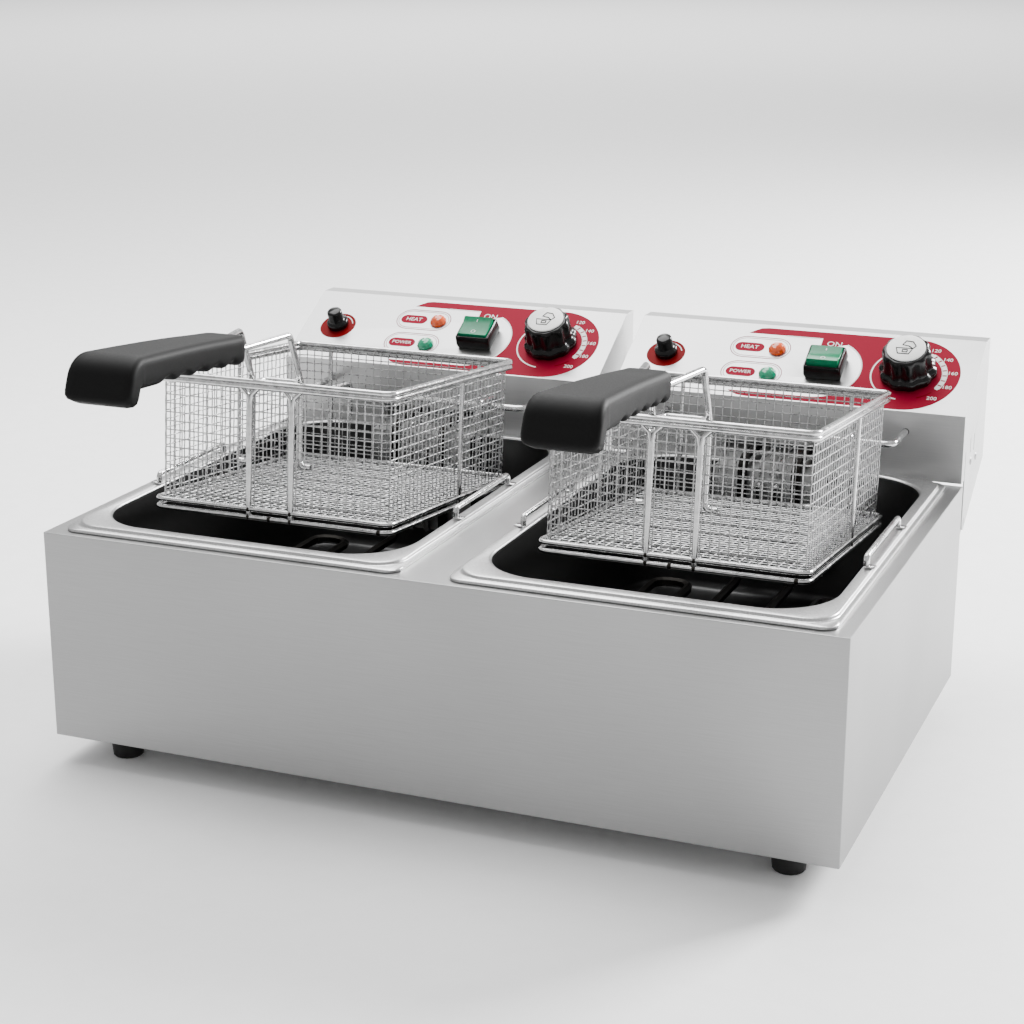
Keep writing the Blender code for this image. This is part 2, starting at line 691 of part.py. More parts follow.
def cable_gland(side, hinge):
    """Gland with an open bore, its axis along Y through the rear cover."""
    profile = (
        (GLAND_BORE, -0.012),
        (GLAND_RADIUS, -0.012),
        (GLAND_RADIUS, GAP),
        (0.0098, GAP),
        (0.0098, 0.006),
        (0.0085, 0.010),
        (0.0068, 0.017),
        (GLAND_BORE, 0.017),
    )
    shape = bmesh.new()
    turn_profile(shape, profile, closed=True)
    bmesh.ops.rotate(shape, verts=shape.verts, matrix=Matrix.Rotation(-math.pi / 2, 3, "X"))
    place = (GLAND_X, HEAD_REAR, HEAD_BOTTOM_Z + GLAND_HEIGHT)
    bmesh.ops.translate(shape, verts=shape.verts, vec=place)
    add_solid(f"cable_gland_{side}", shape, BLACK_PLASTIC, hinge, head_shift())


def hinge_rod(side, hinge):
    """The rod on which the head tilts, through the casing's ears and the hinge rail's."""
    half = HEAD_WIDTH / 2
    shape = bmesh.new()
    add_rod(shape, PIN_RADIUS, (-half, PIVOT_Y, PIVOT_Z), (half, PIVOT_Y, PIVOT_Z))
    add_solid(f"hinge_rod_{side}", shape, ZINC, hinge, head_shift())


def thermostat(side, face):
    back = -SHEET - GAP
    shape = bmesh.new()
    sections = (
        (0.036, 0.036, 0.004, back - 0.024),
        (0.036, 0.036, 0.004, back),
        (2 * SHAFT_RADIUS, 2 * SHAFT_RADIUS, SHAFT_RADIUS, back),
        (2 * SHAFT_RADIUS, 2 * SHAFT_RADIUS, SHAFT_RADIUS, SHAFT_LENGTH),
    )
    stack(shape, sections, 3, centre=face_place(KNOB_AT))
    add_solid(f"thermostat_{side}", shape, ZINC, face)


def knob_ring(radius, z, flute):
    """A ring of the knob, whose edge dips by the flute between its lobes."""
    ring = []
    count = KNOB_FLUTES * 4
    for i in range(count):
        angle = 2 * math.pi * i / count
        r = radius - flute * (0.5 + 0.5 * math.cos(KNOB_FLUTES * angle))
        ring.append((r * math.cos(angle), r * math.sin(angle), z))
    return ring


def thermostat_knob(side, axis):
    bore = SHAFT_RADIUS + GAP
    rings = [
        knob_ring(bore, SHAFT_LENGTH + 0.001, 0),
        knob_ring(bore, KNOB_LIFT, 0),
        knob_ring(KNOB_RADIUS, KNOB_LIFT, 0.0012),
        knob_ring(KNOB_RADIUS, KNOB_LIFT + 0.006, 0.0018),
        knob_ring(KNOB_RADIUS * 0.92, KNOB_LIFT + 0.010, 0.0022),
        knob_ring(KNOB_RADIUS * 0.90, KNOB_HEIGHT - 0.003, 0.0022),
        knob_ring(KNOB_RADIUS * 0.80, KNOB_HEIGHT, 0.0004),
    ]
    shape = bmesh.new()
    loft(shape, rings)
    add_solid(f"thermostat_knob_{side}", shape, BLACK_PLASTIC, axis)
    base = KNOB_HEIGHT + GAP
    shape = bmesh.new()
    profile = ((KNOB_CAP_RADIUS, base), (KNOB_CAP_RADIUS, base + 0.0008))
    profile += ((KNOB_CAP_RADIUS - 0.0015, base + 0.0014),)
    turn_profile(shape, profile, 6)
    add_solid(f"knob_cap_{side}", shape, WHITE_PLASTIC, axis)


def switch_body(side, face):
    wide, tall = (size - 2 * GAP for size in switch_hole())
    corner = 0.001
    well_wide = ROCKER_WIDTH + 0.0010
    well_tall = 2 * ROCKER_HALF_LENGTH + 0.0042
    sections = (
        (wide, tall, corner, -0.026),
        (wide, tall, corner, GAP),
        (BEZEL_WIDTH, BEZEL_LENGTH, 2 * corner, GAP),
        (BEZEL_WIDTH, BEZEL_LENGTH, 2 * corner, BEZEL_HEIGHT - corner),
        (BEZEL_WIDTH - 2 * corner, BEZEL_LENGTH - 2 * corner, corner, BEZEL_HEIGHT),
        (well_wide, well_tall, corner / 2, BEZEL_HEIGHT),
        (well_wide, well_tall, corner / 2, 2 * GAP),
    )
    shape = bmesh.new()
    stack(shape, sections, 1, centre=face_place(SWITCH_AT))
    add_solid(f"switch_body_{side}", shape, BLACK_PLASTIC, face, smooth=False)


def rocker(side, axis):
    """The rocker, turned to whichever end is pressed; its axis is the joint's."""
    reach = ROCKER_HALF_LENGTH
    top = [(-reach, 0.0056), (-reach * 0.5, 0.0044), (0, 0.0040), (reach * 0.5, 0.0044), (reach, 0.0056)]
    bottom = [(reach, -0.0010), (reach * 0.6, -0.0032), (0, -0.0042)]
    bottom += [(-reach * 0.6, -0.0032), (-reach, -0.0010)]
    shape = bmesh.new()
    add_prism(shape, top + bottom, -ROCKER_WIDTH / 2, ROCKER_WIDTH / 2)
    turn = Matrix.Rotation(ROCKER_REST[side] * ROCKER_THROW, 3, "X")
    bmesh.ops.rotate(shape, verts=shape.verts, matrix=turn)
    add_solid(f"rocker_{side}", shape, GREEN_LENS, axis, smooth=False)


def indicator_lamp(name, place, finish, face):
    profile = (
        (LAMP_BODY_RADIUS, -0.020),
        (LAMP_BODY_RADIUS, GAP),
        (LAMP_RADIUS, GAP),
        (LAMP_RADIUS, 0.0020),
        (LAMP_RADIUS * 0.82, 0.0042),
        (LAMP_RADIUS * 0.45, 0.0058),
    )
    shape = bmesh.new()
    turn_profile(shape, profile, 3, centre=face_place(place))
    add_solid(name, shape, finish, face)


def limiter(side, face, axis):
    """The overheat limiter, its reset button in the threaded bush, and the cap screwed over both."""
    back = -SHEET - GAP
    bore = BUTTON_RADIUS + GAP
    body = (
        (0.012, back - 0.022),
        (0.012, back),
        (BUSH_RADIUS, back),
        (BUSH_RADIUS, 0.006),
        (bore, 0.006),
        (bore, -0.006),
    )
    shape = bmesh.new()
    turn_profile(shape, body, 3, centre=face_place(RESET_AT))
    add_solid(f"limiter_{side}", shape, ZINC, face)
    shape = bmesh.new()
    turn_profile(shape, ((BUTTON_RADIUS, -0.003), (BUTTON_RADIUS, 0.0078), (BUTTON_RADIUS * 0.6, 0.0084)), 2)
    add_solid(f"reset_button_{side}", shape, WHITE_PLASTIC, axis)
    bore = BUSH_RADIUS + 2 * GAP
    cap = (
        (bore, 0.0098),
        (bore, 2 * GAP),
        (RESET_SKIRT_RADIUS, 2 * GAP),
        (RESET_SKIRT_RADIUS, 0.0056),
        (RESET_CAP_RADIUS, 0.0070),
        (RESET_CAP_RADIUS, 0.0148),
        (RESET_CAP_RADIUS * 0.8, 0.0160),
    )
    shape = bmesh.new()
    turn_profile(shape, cap, 4)
    add_solid(f"reset_cap_{side}", shape, BLACK_PLASTIC, axis)


def basket_loop(shape, wire, z, sides):
    """A closed wire round the basket's outer edge."""
    inset = wire / 2
    low = (inset - BASKET_WIDTH / 2, inset)
    high = (BASKET_WIDTH / 2 - inset, BASKET_DEPTH - inset)
    path = [(x, y, z) for x, y in rounded_rectangle(low, high, BASKET_CORNER - inset, 3)]
    add_wire(shape, path, wire / 2, sides, closed=True)


def tub_size():
    """Outer width and depth of the mesh tub inside the rim wires."""
    play = 2 * (RIM_WIRE + GAP)
    return BASKET_WIDTH - play, BASKET_DEPTH - play


def basket_mesh(side, axis):
    """The woven tub as a thin closed wall with its true outline and an open top."""
    width, depth = tub_size()
    corner = BASKET_CORNER - RIM_WIRE - GAP
    bottom = RING_STEP
    top = BASKET_HEIGHT - RIM_WIRE
    thin = 2 * MESH_WALL
    sections = (
        (width, depth, corner, bottom),
        (width, depth, corner, top),
        (width - thin, depth - thin, corner - MESH_WALL, top),
        (width - thin, depth - thin, corner - MESH_WALL, bottom + MESH_WALL),
    )
    shape = bmesh.new()
    stack(shape, sections, 2, centre=(0, BASKET_DEPTH / 2))
    add_solid(f"basket_mesh_{side}", shape, BRIGHT_WIRE, axis)


def basket_frame(side, axis):
    """Welded wires: two rims, two bottom rings, upright bars, the rear hooks and the handle's keeper."""
    rim_top = BASKET_HEIGHT - RIM_WIRE / 2
    rim_low = rim_top - RIM_WIRE + WELD
    ring_low = RING_WIRE / 2
    ring_top = ring_low + RING_STEP
    shape = bmesh.new()
    basket_loop(shape, RIM_WIRE, rim_top, 6)
    basket_loop(shape, RING_WIRE, ring_top, 6)
    frame = add_solid(f"basket_frame_{side}", shape, BRIGHT_WIRE, axis)
    shape = bmesh.new()
    basket_loop(shape, RIM_WIRE, rim_low, 8)
    basket_loop(shape, RING_WIRE, ring_low, 6)
    cut_with(frame, shape, "UNION")
    inset = RIM_WIRE / 2
    rear = BASKET_DEPTH - inset
    bars = [(x, inset) for x in (-FRONT_BAR_X, FRONT_BAR_X)]
    bars += [(hand * (BASKET_WIDTH / 2 - inset), SIDE_BAR_Y) for hand in (-1, 1)]
    bars += [(x, rear) for x in (-HOOK_X, HOOK_X)]
    shape = bmesh.new()
    for x, y in bars:
        add_rod(shape, BAR_WIRE / 2, (x, y, ring_low), (x, y, rim_low), 6)
    cut_with(frame, shape, "UNION")
    hook_top = HOOK_REST_Z + (HANGER_WIRE + HOOK_WIRE) / 2 + GAP
    hook_low = hook_top - HOOK_DROP
    shape = bmesh.new()
    for x in (-HOOK_X, HOOK_X):
        corners = [(x, rear + WELD, hook_low), (x, rear + WELD, hook_top)]
        corners += [(x, HOOK_REACH, hook_top), (x, HOOK_REACH, hook_low)]
        add_wire(shape, fillet_path(corners, HOOK_WIRE, 3), HOOK_WIRE / 2, 6)
    reach = RIM_WIRE + KEEPER_REACH
    keeper = [(-KEEPER_HALF, inset, rim_top), (-KEEPER_HALF, reach, rim_top)]
    keeper += [(KEEPER_HALF, reach, rim_top), (KEEPER_HALF, inset, rim_top)]
    add_wire(shape, fillet_path(keeper, 0.004, 3), BAR_WIRE / 2, 6)
    cut_with(frame, shape, "UNION")


def handle_wire_y():
    """Where the handle's wires stand inside the basket's front wall."""
    return RIM_WIRE + GAP + MESH_WALL + HANDLE_WIRE / 2 + 2 * GAP


def handle_loop():
    """The path inside the grip: in along one side, across, and out along the other."""
    x, z = grip_wire_x(), grip_wire_z()
    end = GRIP_REAR - GRIP_SOCKET
    return [(-x, GRIP_REAR, z), (-x, end, z), (x, end, z), (x, GRIP_REAR, z)]


def handle_wire(side, axis):
    """One wire: hooked feet inside the front wall, up over the rim, forward and round inside the grip."""
    inside = handle_wire_y()
    crest_y, crest_z = HANDLE_CREST
    half = [(HANDLE_X + HANDLE_HOOK, inside, HANDLE_LOW_Z), (HANDLE_X, inside, HANDLE_LOW_Z)]
    half += [(HANDLE_X, inside, BASKET_HEIGHT), (HANDLE_X, crest_y, crest_z)]
    other = [(-x, y, z) for x, y, z in half]
    shape = bmesh.new()
    add_wire(shape, fillet_path(other + handle_loop() + half[::-1], 0.005, 3), HANDLE_WIRE / 2, 6)
    add_solid(f"handle_wire_{side}", shape, BRIGHT_WIRE, axis)


def grip_wire_x():
    return GRIP_REAR_HALF - HANDLE_WIRE / 2 - 0.002


def grip_wire_z():
    return GRIP_TOP - GRIP_THICKNESS * 0.45


def grip_outline():
    """The grip's side view: a crowned top, a turned-down guard in front and finger grooves below."""
    under = GRIP_TOP - GRIP_THICKNESS
    groove = 0.0028
    outline = [(GRIP_REAR, under + 0.005), (GRIP_REAR, GRIP_TOP - 0.003), (GRIP_REAR - 0.004, GRIP_TOP)]
    outline += [(GRIP_REAR - 0.070, GRIP_TOP + 0.001), (GRIP_FRONT + 0.015, GRIP_TOP - 0.002)]
    outline += [(GRIP_FRONT, GRIP_TOP - 0.009), (GRIP_FRONT - 0.006, GRIP_GUARD_BOTTOM + 0.005)]
    outline += [(GRIP_FRONT - 0.002, GRIP_GUARD_BOTTOM), (GRIP_FRONT + 0.007, GRIP_GUARD_BOTTOM + 0.003)]
    outline += [(GRIP_FRONT + 0.016, under - 0.002), (GRIP_FRONT + 0.022, under)]
    first, last = GRIP_FRONT + 0.022, GRIP_REAR - 0.012
    pitch = (last - first) / GRIP_GROOVES
    for i in range(GRIP_GROOVES):
        start = first + i * pitch
        outline += [(start + pitch * 0.3, under + groove), (start + pitch * 0.7, under + groove)]
        outline += [(start + pitch, under)]
    return outline


def handle_grip(side, axis):
    shape = bmesh.new()
    add_prism(shape, grip_outline(), -1.0, 1.0)
    span = GRIP_FRONT - GRIP_REAR
    for vert in shape.verts:
        share = min(max((vert.co.y - GRIP_REAR) / span, 0.0), 1.0)
        vert.co.x *= GRIP_REAR_HALF + share * (GRIP_FRONT_HALF - GRIP_REAR_HALF)
    grip = add_solid(f"handle_grip_{side}", shape, CHARCOAL, axis, smooth=True)
    bevel = grip.modifiers.new("rounded edges", "BEVEL")
    bevel.width = 0.0035
    bevel.segments = 2
    bevel.limit_method = "ANGLE"
    bevel.angle_limit = math.radians(50)
    shape = bmesh.new()
    channel = handle_loop()
    channel = [(x, y + CUT * (i in (0, 3)), z) for i, (x, y, z) in enumerate(channel)]
    add_wire(shape, fillet_path(channel, 0.005, 3), HANDLE_WIRE / 2 + 2 * GAP, 6)
    cut_with(grip, shape)


def basket_axis_place(side):
    """Where the basket's frame sits when its hooks rest on the hanger's bar, from the head's hinge."""
    y, z = HANG_Y[side], HOOK_REST_Z
    cosine, sine = math.cos(BASKET_TILT), math.sin(BASKET_TILT)
    bar = HEAD_FRONT - HANGER_REACH
    return (0, bar - (y * cosine + z * sine) - PIVOT_Y, HANGER_Z - (z * cosine - y * sine) - PIVOT_Z)


def control_head(side, unit):
    hinge = add_empty(f"head_hinge_{side}", unit, (0, PIVOT_Y, PIVOT_Z))
    face = add_empty(f"face_{side}", hinge, (0, HEAD_FRONT - PIVOT_Y, FACE_Z - PIVOT_Z), (FACE_ANGLE, 0, 0))
    control_casing(side, hinge, face)
    rear_cover(side, hinge)
    hanger(side, hinge)
    element_bracket(side, hinge)
    heating_element(side, hinge)
    sensor_bulb(f"thermostat_bulb_{side}", BULB_SPREAD, hinge)
    sensor_bulb(f"limiter_bulb_{side}", -BULB_SPREAD, hinge)
    cable_gland(side, hinge)
    hinge_rod(side, hinge)
    thermostat(side, face)
    switch_body(side, face)
    indicator_lamp(f"heat_lamp_{side}", HEAT_LAMP_AT, AMBER_LENS, face)
    indicator_lamp(f"power_lamp_{side}", POWER_LAMP_AT, GREEN_LENS, face)
    thermostat_knob(side, add_empty(f"knob_axis_{side}", face, (*face_place(KNOB_AT), 0)))
    rocker(side, add_empty(f"rocker_axis_{side}", face, (*face_place(SWITCH_AT), ROCKER_AXIS_HEIGHT)))
    limiter(side, face, add_empty(f"reset_axis_{side}", face, (*face_place(RESET_AT), 0)))
    return hinge


def basket(side, hinge):
    frame = add_empty(f"basket_axis_{side}", hinge, basket_axis_place(side), (-BASKET_TILT, 0, 0))
    basket_mesh(side, frame)
    basket_frame(side, frame)
    handle = add_empty(f"handle_axis_{side}", frame)
    handle_wire(side, handle)
    handle_grip(side, handle)


def centre_on_origin(root):
    """Moves the whole part so that its box is centred on the origin and stands on Z = 0."""
    bpy.context.view_layer.update()
    graph = bpy.context.evaluated_depsgraph_get()
    corners = []
    for obj in bpy.context.scene.objects:
        if obj.type == "MESH" and not obj.hide_render:
            corners += [obj.matrix_world @ Vector(corner) for corner in obj.evaluated_get(graph).bound_box]
    middle = [(min(c[i] for c in corners) + max(c[i] for c in corners)) / 2 for i in (0, 1)]
    root.location = (-middle[0], -middle[1], -min(c.z for c in corners))
    bpy.context.view_layer.update()


def build():
    clear_scene()
    root = add_empty("fryer")
    housing_shell(root)
    base_plate(root)
    feet(root)
    hinge_rail(root)
    for side, sign in UNITS.items():
        unit = add_empty(f"unit_{side}", root, (sign * UNIT_OFFSET, 0, 0))
        oil_tank(side, unit)
        lift_rails(side, unit)
        basket(side, control_head(side, unit))
    centre_on_origin(root)


build()
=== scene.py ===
"""Looks of a twin countertop deep fryer.

Brushed stainless housing and heads, woven wire baskets and printed controls. Lengths are in metres, or in
millimetres where they are multiplied by MM or the comment says so.
"""

import json
import math

import bmesh
import bpy
from mathutils import Matrix, Vector


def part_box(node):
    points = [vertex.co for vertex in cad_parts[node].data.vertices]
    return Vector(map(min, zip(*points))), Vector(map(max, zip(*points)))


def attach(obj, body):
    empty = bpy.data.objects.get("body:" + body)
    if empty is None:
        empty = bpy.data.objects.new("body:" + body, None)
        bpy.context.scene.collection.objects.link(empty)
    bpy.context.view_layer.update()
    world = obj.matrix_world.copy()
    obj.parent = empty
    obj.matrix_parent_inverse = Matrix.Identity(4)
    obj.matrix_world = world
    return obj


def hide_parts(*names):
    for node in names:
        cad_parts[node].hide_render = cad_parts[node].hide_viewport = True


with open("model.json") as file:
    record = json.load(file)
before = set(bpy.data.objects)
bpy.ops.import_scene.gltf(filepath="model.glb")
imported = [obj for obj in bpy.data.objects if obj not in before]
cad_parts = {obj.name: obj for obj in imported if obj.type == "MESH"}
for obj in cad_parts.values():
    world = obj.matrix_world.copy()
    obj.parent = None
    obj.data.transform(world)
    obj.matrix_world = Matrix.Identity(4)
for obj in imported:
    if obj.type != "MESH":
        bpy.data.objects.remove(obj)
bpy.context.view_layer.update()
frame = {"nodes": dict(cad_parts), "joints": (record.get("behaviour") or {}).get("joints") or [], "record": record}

SIDES = ("left", "right")
MM = 0.001

# The control face: its slope, and how high its lower edge stands above the head's underside
FACE_ANGLE = math.radians(29.8)
FACE_RISE = 50 * MM

# Camera: place, focal length for a 36 mm frame, turn to the left and tilt down
CAMERA_PLACE = (0.5215, -1.2739, 0.5763)
CAMERA_LENS = 73.2
CAMERA_TURN = math.radians(22.26)
CAMERA_TILT = math.radians(16.54)


# Materials

# Nearly all of a noise texture's values lie in this span.
NOISE_SPAN = {"From_Min": 0.3, "From_Max": 0.7}


def linear(colour):
    """An sRGB hex colour as linear red, green, blue and alpha."""
    parts = [int(colour[i : i + 2], 16) / 255 for i in (1, 3, 5)]
    return (*[c / 12.92 if c <= 0.04045 else ((c + 0.055) / 1.055) ** 2.4 for c in parts], 1.0)


def add_node(tree, kind, settings=(), **sockets):
    """Adds a node; a socket takes a value, or the output that is linked to it."""
    node = tree.nodes.new(kind)
    for name, value in dict(settings).items():
        setattr(node, name, value)
    for name, value in sockets.items():
        numbered = name[0] == "i" and name[1:].isdigit()
        socket = node.inputs[int(name[1:]) if numbered else name.replace("_", " ")]
        if isinstance(value, bpy.types.NodeSocket):
            tree.links.new(value, socket)
        else:
            socket.default_value = value
    return node


def new_material(name, colour, roughness, metallic=0.0, **more):
    material = bpy.data.materials.new(name)
    material.use_nodes = True
    shader = material.node_tree.nodes["Principled BSDF"]
    shader.inputs["Base Color"].default_value = linear(colour)
    shader.inputs["Roughness"].default_value = roughness
    shader.inputs["Metallic"].default_value = metallic
    for socket, value in more.items():
        shader.inputs[socket.replace("_", " ")].default_value = value
    return material, material.node_tree, shader


def link_looks(tree, shader, **looks):
    """Links outputs to the sockets of the shader that they drive."""
    for socket, output in looks.items():
        tree.links.new(output, shader.inputs[socket.replace("_", " ")])


def mottle(tree, texture, dark, light):
    """A colour that wanders between two tones as a texture does."""
    share = add_node(tree, "ShaderNodeMapRange", Value=texture, **NOISE_SPAN).outputs[0]
    tones = {"i6": linear(dark), "i7": linear(light)}
    return add_node(tree, "ShaderNodeMix", {"data_type": "RGBA"}, i0=share, **tones).outputs[2]


def brushed_stainless(name, light, dark, roughness):
    """304 sheet, belt brushed: short scratches draw its highlights out into a soft sheen across them."""
    material, tree, shader = new_material(name, light, roughness, 1.0)
    place = add_node(tree, "ShaderNodeTexCoord").outputs["Object"]
    # Real scratches are some 0.1 mm wide, too fine to show, so these are 0.6 mm wide and 30 mm long.
    across, along = 1 / (0.6 * MM), 1 / (30 * MM)
    # They run from side to side, and from front to rear on faces that look sideways.
    normal = add_node(tree, "ShaderNodeNewGeometry").outputs["Normal"]
    sideways = add_node(tree, "ShaderNodeSeparateXYZ", Vector=normal).outputs["X"]
    on_side = add_node(tree, "ShaderNodeMath", {"operation": "ABSOLUTE"}, i0=sideways).outputs[0]
    on_side = add_node(tree, "ShaderNodeMath", {"operation": "GREATER_THAN"}, i0=on_side, i1=0.7).outputs[0]
    sizes = {"i4": (along, across, across), "i5": (across, along, across)}
    size = add_node(tree, "ShaderNodeMix", {"data_type": "VECTOR"}, i0=on_side, **sizes).outputs[1]
    drawn = add_node(tree, "ShaderNodeVectorMath", {"operation": "MULTIPLY"}, i0=place, i1=size).outputs[0]
    grain = add_node(tree, "ShaderNodeTexNoise", Vector=drawn, Scale=1.0, Detail=3.0, Roughness=0.6).outputs[0]
    rolled = add_node(tree, "ShaderNodeTexNoise", Vector=place, Scale=9.0, Detail=1.0).outputs[0]
    fine = {"To_Min": -0.025, "To_Max": 0.025}
    wide = {"To_Min": roughness - 0.03, "To_Max": roughness + 0.03}
    scratch = add_node(tree, "ShaderNodeMapRange", Value=grain, **NOISE_SPAN, **fine).outputs[0]
    drift = add_node(tree, "ShaderNodeMapRange", Value=rolled, **NOISE_SPAN, **wide).outputs[0]
    gloss = add_node(tree, "ShaderNodeMath", {"operation": "ADD"}, i0=scratch, i1=drift).outputs[0]
    relief = add_node(tree, "ShaderNodeBump", Strength=0.02, Distance=0.01 * MM, Height=grain).outputs[0]
    link_looks(tree, shader, Base_Color=mottle(tree, grain, dark, light), Roughness=gloss, Normal=relief)
    return material


def bright_wire(name, light, dark, roughness, spot_mm):
    """Drawn stainless wire: near-mirror highlights, broken up by faint die lines and dull spots."""
    material, tree, shader = new_material(name, light, roughness[0], 1.0)
    place = add_node(tree, "ShaderNodeTexCoord").outputs["Object"]
    spots = add_node(tree, "ShaderNodeTexNoise", Vector=place, Scale=1 / (spot_mm * MM), Detail=2.0).outputs[0]
    span = {"To_Min": roughness[0], "To_Max": roughness[1]}
    gloss = add_node(tree, "ShaderNodeMapRange", Value=spots, **NOISE_SPAN, **span).outputs[0]
    link_looks(tree, shader, Base_Color=mottle(tree, spots, dark, light), Roughness=gloss)
    return material


def tank_steel():
    """Deep-drawn tank: satin flanges, and walls inside the well painted nearly black as painted shade."""
    material, tree, shader = new_material("drawn tank steel", "#C4C4C4", 0.3, 1.0)
    place = add_node(tree, "ShaderNodeTexCoord").outputs["Object"]
    grain = add_node(tree, "ShaderNodeTexNoise", Vector=place, Scale=1 / (1.2 * MM), Detail=3.0).outputs[0]
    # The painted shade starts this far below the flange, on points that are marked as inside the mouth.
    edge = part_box("oil_tank_left")[1][2] - 1.6 * MM
    height = add_node(tree, "ShaderNodeSeparateXYZ", Vector=place).outputs["Z"]
    below = add_node(tree, "ShaderNodeMath", {"operation": "LESS_THAN"}, i0=height, i1=edge).outputs[0]
    inside = add_node(tree, "ShaderNodeAttribute", {"attribute_name": "inside"}).outputs["Fac"]
    painted_shade = add_node(tree, "ShaderNodeMath", {"operation": "MULTIPLY"}, i0=below, i1=inside).outputs[0]
    # Flange tones, then the near-black tones of the painted shade down the well
    tones = {"i6": mottle(tree, grain, "#B4B4B4", "#CECECE"), "i7": mottle(tree, grain, "#101010", "#191919")}
    colour = add_node(tree, "ShaderNodeMix", {"data_type": "RGBA"}, i0=painted_shade, **tones).outputs[2]
    # Where the shade is painted the surface is not metal, so it reflects almost nothing
    unshaded = add_node(tree, "ShaderNodeMath", {"operation": "SUBTRACT"}, i0=1.0, i1=painted_shade).outputs[0]
    link_looks(tree, shader, Base_Color=colour, Metallic=unshaded)
    return material


def moulded(name, light, dark, roughness, grain_mm, depth_mm, **more):
    """Injection-moulded plastic or rubber: an even colour, with the fine texture of its mould in the gloss."""
    material, tree, shader = new_material(name, light, roughness, 0.0, **more)
    place = add_node(tree, "ShaderNodeTexCoord").outputs["Object"]
    grain = add_node(tree, "ShaderNodeTexNoise", Vector=place, Scale=1 / (grain_mm * MM), Detail=3.0).outputs[0]
    span = {"To_Min": roughness - 0.04, "To_Max": roughness + 0.04}
    gloss = add_node(tree, "ShaderNodeMapRange", Value=grain, **NOISE_SPAN, **span).outputs[0]
    relief = add_node(tree, "ShaderNodeBump", Strength=0.25, Distance=depth_mm * MM, Height=grain).outputs[0]
    link_looks(tree, shader, Base_Color=mottle(tree, grain, dark, light), Roughness=gloss, Normal=relief)
    return material


def screen_print(name, light, dark):
    """Screen-printed enamel ink: satin, with the faint mottle of the mesh it was pulled through."""
    return moulded(name, light, dark, 0.5, 0.7, 0.01, Specular_IOR_Level=0.05)


# Mid grey with a broad, drawn-out sheen
HOUSING_STEEL = brushed_stainless("brushed stainless sheet", "#969696", "#909090", 0.34)
# The housing's steel again, painted paler as painted light on the heads and element brackets, and softer
PAINTED_LIT_STEEL = brushed_stainless("satin stainless sheet", "#BABABA", "#B3B3B3", 0.4)
# Bright lines with crisp highlights
WIRE = bright_wire("polished stainless wire", "#DADADA", "#BDBDBD", (0.10, 0.26), 4.0)
# Bright on the crowns of the weave, duller between
WEAVE = bright_wire("woven stainless wire", "#C6C6C6", "#8C8C8C", (0.2, 0.42), 2.5)
# Small dark marks on the bright wire
WELD = brushed_stainless("heat-tinted weld", "#3A3835", "#24221F", 0.35)
TANK = tank_steel()
# Dull pale grey
ZINC = brushed_stainless("zinc-plated steel", "#A8A8A8", "#989898", 0.45)
# Nearly black, with a faint metal sheen
HEATED = brushed_stainless("heat-darkened steel tube", "#2C2A28", "#201F1D", 0.45)
# Deep black with sharp reflections
GLOSS_BLACK = moulded("glossy black phenolic", "#060606", "#030303", 0.2, 3.0, 0.01, Specular_IOR_Level=0.3)
# Black with a soft sheen
SATIN_BLACK = moulded("black nylon", "#111111", "#0A0A0A", 0.4, 0.8, 0.02)
# Charcoal with hardly a highlight
GRIP = moulded("charcoal grip moulding", "#0C0C0C", "#070707", 0.55, 0.9, 0.06, Specular_IOR_Level=0.12)
# Flat black
RUBBER = moulded("black rubber", "#131313", "#0C0C0C", 0.7, 0.6, 0.05)
# Clean white with a light gloss
WHITE = moulded("white printed disc", "#F2F2F0", "#EAEAE8", 0.3, 2.0, 0.01)
# Inks: flat even colour that keeps its tone where the steel round it shines
RED_PRINT = screen_print("red enamel print", "#8C0A2A", "#840826")
DARK_RED_PRINT = screen_print("deep red enamel print", "#74040A", "#6C0308")
WHITE_PRINT = screen_print("white enamel print", "#F4F4F2", "#ECECEA")
GREY_PRINT = screen_print("grey enamel line", "#8E5560", "#844C57")
DARK_PRINT = screen_print("black enamel line", "#242424", "#1C1C1C")
# Deep green with a soft highlight
GREEN = moulded(
    "translucent green polycarbonate", "#047A52", "#036C48", 0.2, 4.0, 0.01, Specular_IOR_Level=0.25
)
# Lamp lenses: clear strong colour under small hard highlights
CLEAR = {"Transmission_Weight": 0.2, "Coat_Weight": 0.6}
AMBER = moulded("translucent amber polycarbonate", "#F2601A", "#E44C10", 0.1, 2.5, 0.03, **CLEAR)
LAMP_GREEN = moulded("translucent green lamp lens", "#0AA678", "#06936A", 0.1, 2.5, 0.03, **CLEAR)


# Making pieces


def add_piece(name, shape, material, body, nodes=(), sharp=35):
    """Turns a bmesh into a piece that rides on a body and stands for CAD nodes."""
    mesh = bpy.data.meshes.new(name)
    bmesh.ops.recalc_face_normals(shape, faces=shape.faces)
    shape.to_mesh(mesh)
    shape.free()
    mesh.shade_smooth()
    mesh.set_sharp_from_angle(angle=math.radians(sharp))
    return add_mesh(name, mesh, material, body, nodes)


def add_mesh(name, mesh, material, body, nodes=()):
    piece = bpy.data.objects.new(name, mesh)
    bpy.context.scene.collection.objects.link(piece)
    mesh.materials.clear()
    mesh.materials.append(material)
    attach(piece, body)
    if nodes:
        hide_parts(*nodes)
    return piece


